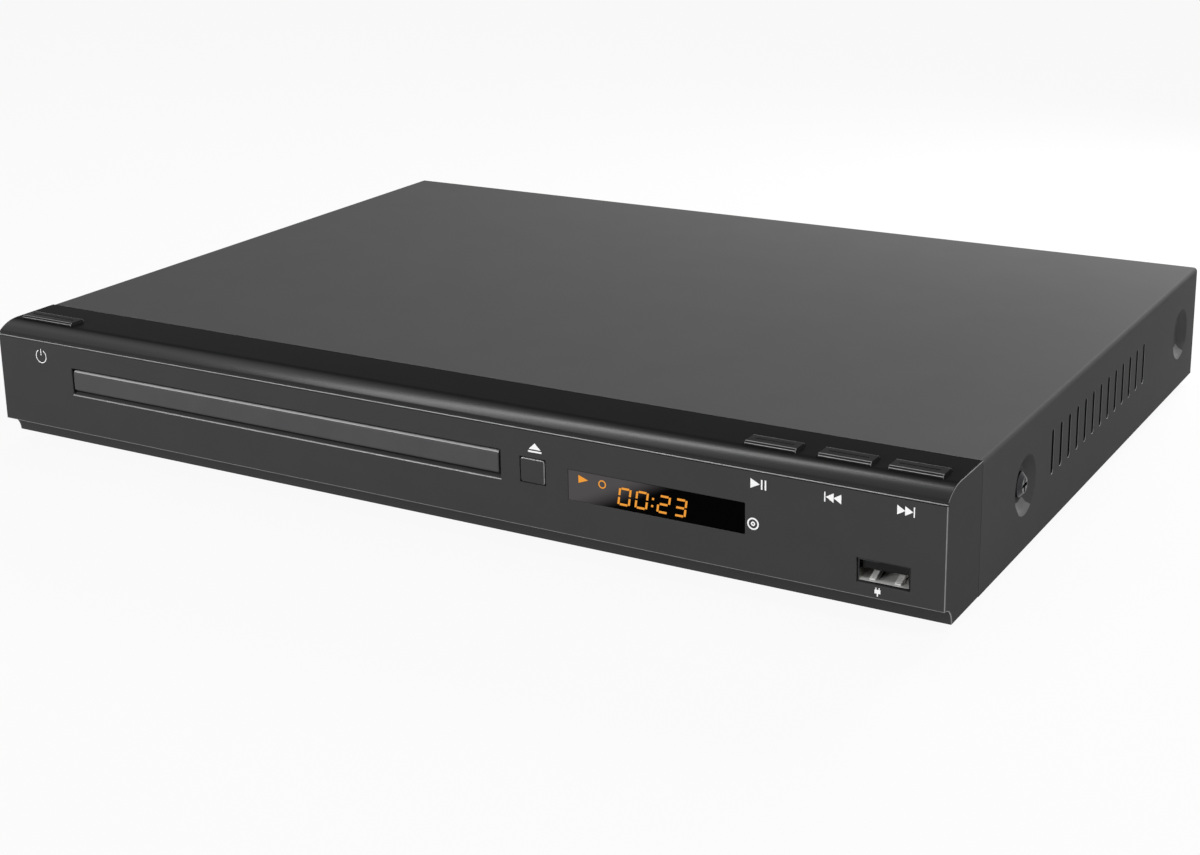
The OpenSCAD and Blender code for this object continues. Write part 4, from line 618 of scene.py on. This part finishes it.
def addRing(shape, x, z, radius, line, gap, ink):
    # a ring with a gap at its top
    arc = bmesh.new()
    size = Vector((line, ink[1] - ink[0], 1)) / 1000
    middle = place(x, (ink[0] + ink[1]) / 2, z)
    start = Matrix.Rotation(math.radians(-90 + gap / 2), 4, "Y")
    bmesh.ops.create_grid(arc, x_segments=1, y_segments=1, size=0.5,
                          matrix=Matrix.Translation((radius / 1000, 0, 0))
                          @ Matrix.Diagonal((size.x, size.y, 1, 1)))
    bmesh.ops.spin(arc, geom=arc.faces[:] + arc.edges[:] + arc.verts[:], cent=(0, 0, 0),
                   axis=(0, 1, 0), angle=math.radians(360 - gap), steps=rings["steps"],
                   use_merge=gap == 0)
    bmesh.ops.transform(arc, matrix=Matrix.Translation(middle) @ start, verts=arc.verts)
    mesh = bpy.data.meshes.new("arc")
    arc.to_mesh(mesh)
    arc.free()
    shape.from_mesh(mesh)
    bpy.data.meshes.remove(mesh)


makers = {"bar": addBar, "wedge": addWedge, "ring": addRing}


def addMark(shape, middle, parts, ink):
    x, z = middle
    for kind, right, up, *measures in parts:
        makers[kind](shape, x + right, z + up, *measures, ink)


# at: the mark's middle; parts: bars (right, up, width, height), wedges (right, up, along, wide,
# turn) and rings (right, up, radius, line, gap)
printed = {
    "ink": (-0.02, 0.05),
    "marks": {
        "play": {"at": (101.4, 28.3), "parts": (
            ("wedge", 0, 0, 2.45, 2.5, 90), ("bar", 1.75, 0, 0.4, 2.5),
            ("bar", 2.75, 0, 0.4, 2.5))},
        "previous": {"at": (121.55, 28.3), "parts": (
            ("wedge", 1.2, 0, 2.0, 2.4, -90), ("wedge", -0.75, 0, 2.0, 2.4, -90),
            ("bar", -2.0, 0, 0.3, 2.5))},
        "next": {"at": (139.9, 28.4), "parts": (
            ("wedge", -1.2, 0, 2.0, 2.4, 90), ("wedge", 0.75, 0, 2.0, 2.4, 90),
            ("bar", 2.0, 0, 0.3, 2.5))},
        "eject": {"at": (39.2, 26.9), "parts": (
            ("wedge", 0, 0.4, 1.7, 3.6, 0), ("bar", 0, -1.05, 4.0, 0.45))},
        "power": {"at": (-133.1, 26.9), "parts": (
            ("ring", 0, 0, 1.98, 0.24, 56), ("bar", 0, 1.3, 0.24, 2.0))},
        "plug": {"at": (133.3, 6.9), "parts": (
            ("bar", 0, 0, 1.5, 1.0), ("bar", -0.4, 0.75, 0.25, 0.5),
            ("bar", 0.4, 0.75, 0.25, 0.5), ("bar", 0, -0.85, 0.3, 0.7))},
        "disc": {"at": (100.9, 17.9), "parts": (
            ("ring", 0, 0, 1.35, 0.4, 0), ("ring", 0, 0, 0.4, 0.35, 0))}}}
shape = bmesh.new()
for mark in printed["marks"].values():
    addMark(shape, mark["at"], mark["parts"], printed["ink"])
finishPiece(shape, "printedMarks", "case", ("whitePrint",))

# display: four seven-segment digits and a colon that lean, then a play mark and a disc mark
display = {"ink": (0.04, 0.12), "low": 15.9, "height": 4.8, "width": 3.0, "stroke": 0.55,
           "slant": 0.14, "gap": 0.14, "colon": 73.3, "dotRise": 0.4,
           "digits": {65.3: "abcdef", 70.2: "abcdef", 76.4: "abdeg", 81.0: "abcdg"},
           "play": ("wedge", 53.4, 20.8, 2.8, 2.1, 90), "disc": ("ring", 58.9, 20.5, 0.95, 0.3, 0)}
ink, gap, stroke = display["ink"], display["gap"], display["stroke"]
half, reach = display["height"] / 2, display["width"] / 2
z = display["low"] + half
flatBar = (2 * reach - stroke - 2 * gap, stroke)
uprightBar = (stroke, half - stroke - 2 * gap + stroke / 2)
bars = {"a": (0, half - stroke / 2), "d": (0, -half + stroke / 2), "g": (0, 0),
        "f": (-reach, half / 2), "e": (-reach, -half / 2), "b": (reach, half / 2),
        "c": (reach, -half / 2)}
shape = bmesh.new()
for x, lit in display["digits"].items():
    addMark(shape, (x, z), [("bar", *bars[name], *(flatBar if name in "adg" else uprightBar))
                            for name in lit], ink)
rise = half * display["dotRise"]
addMark(shape, (display["colon"], z), [("bar", 0, up, stroke, stroke) for up in (rise, -rise)], ink)
middle = heightAt(z)
for vert in shape.verts:
    vert.co.x += display["slant"] * (vert.co.z - middle)
addMark(shape, (0, 0), (display["play"], display["disc"]), ink)
finishPiece(shape, "litSegments", "case", ("amberPhosphor",))
print("marks and display made")

# camera, where the photograph was taken from; its plate is shifted down a little, so that
# upright edges lean less
view = {"place": (0.29765, -0.52099, 0.20436), "lens": 60.1633, "sensor": 36.0, "shift": -0.1,
        "right": (0.86476, 0.5019, -0.01698), "down": (0.12386, -0.24593, -0.96135),
        "ahead": (-0.48667, 0.82923, -0.27483)}
cameraData = bpy.data.cameras.new("camera")
cameraData.sensor_fit = "HORIZONTAL"
cameraData.sensor_width = view["sensor"]
cameraData.lens = view["lens"]
cameraData.shift_y = view["shift"]
camera = bpy.data.objects.new("camera", cameraData)
scene.collection.objects.link(camera)
turn = Matrix((view["right"], -Vector(view["down"]), -Vector(view["ahead"]))).transposed()
camera.matrix_world = Matrix.Translation(view["place"]) @ turn.to_4x4()
scene.camera = camera


# 1 for rays that the viewer sees straight, mirrored or through glass, otherwise 0
def whiteToView(tree):
    paths = addNode(tree, "ShaderNodeLightPath").outputs
    straight = addNode(tree, "ShaderNodeMath", {"operation": "MAXIMUM"}, None,
                       {0: paths["Is Camera Ray"], 1: paths["Is Glossy Ray"]})
    return addNode(tree, "ShaderNodeMath", {"operation": "MAXIMUM"}, None,
                   {0: straight.outputs[0], 1: paths["Is Transmission Ray"]}).outputs[0]


white = {"Color": (1, 1, 1, 1), "Strength": 1.0}

# pale floor: mostly its own white to the viewer, matt grey to all other light
floorPlan = {"size": 8.0, "drop": 0.00002, "colour": "#b4b4b4", "ownWhite": 0.93}
bpy.ops.mesh.primitive_plane_add(size=floorPlan["size"], location=(0, 0, -floorPlan["drop"]))
floor = bpy.context.object
floor.name = "floor"
floorPaint = bpy.data.materials.new("mattWhiteFloor")
floorPaint.use_nodes = True
tree = floorPaint.node_tree
tree.nodes.clear()
share = addNode(tree, "ShaderNodeMath", {"operation": "MULTIPLY"}, {1: floorPlan["ownWhite"]},
                {0: whiteToView(tree)})
matt = addNode(tree, "ShaderNodeBsdfDiffuse", None, {"Color": linear(floorPlan["colour"])})
glow = addNode(tree, "ShaderNodeEmission", None, white)
mixed = addNode(tree, "ShaderNodeMixShader", None, None,
                {0: share.outputs[0], 1: matt.outputs[0], 2: glow.outputs[0]})
addNode(tree, "ShaderNodeOutputMaterial", links={"Surface": mixed.outputs[0]})
floor.data.materials.append(floorPaint)

# soft sky: dim as a light, white to the viewer
studio = {"skyStrength": 0.12}
scene.world = scene.world or bpy.data.worlds.new("studio")
scene.world.use_nodes = True
tree = scene.world.node_tree
tree.nodes.clear()
dim = addNode(tree, "ShaderNodeBackground", None, {**white, "Strength": studio["skyStrength"]})
seen = addNode(tree, "ShaderNodeBackground", None, white)
mixed = addNode(tree, "ShaderNodeMixShader", None, None,
                {0: whiteToView(tree), 1: dim.outputs[0], 2: seen.outputs[0]})
addNode(tree, "ShaderNodeOutputWorld", links={"Surface": mixed.outputs[0]})

# soft boxes: places and sizes in metres, power in watts
lamps = {
    "keyBox": {"at": (-0.45, -1.0, 0.24), "aim": (0, -0.1, 0.02), "size": (0.6, 0.3),
               "power": 10.5},
    "browStrip": {"at": (-0.36, 0.17, 0.76), "aim": (-0.2, 0.03, 0.03), "size": (0.6, 0.1),
                  "power": 2.6},
    "rearBox": {"at": (0.17, 0.4, 0.25), "aim": (0.02, 0, 0.03), "size": (0.2, 0.12),
                "power": 4.2},
    "sideBox": {"at": (0.4, -0.22, 0.34), "aim": (0.15, -0.05, 0.02), "size": (0.12, 0.12),
                "power": 1.1},
}
for name, lamp in lamps.items():
    data = bpy.data.lights.new(name, "AREA")
    data.shape = "RECTANGLE"
    data.size, data.size_y = lamp["size"]
    data.energy = lamp["power"]
    lampObject = bpy.data.objects.new(name, data)
    lampObject.location = lamp["at"]
    aim = Vector(lamp["aim"]) - Vector(lamp["at"])
    lampObject.rotation_euler = aim.to_track_quat("-Z", "Y").to_euler()
    scene.collection.objects.link(lampObject)

scene.view_settings.view_transform = "Standard"
print("camera, floor and light set")
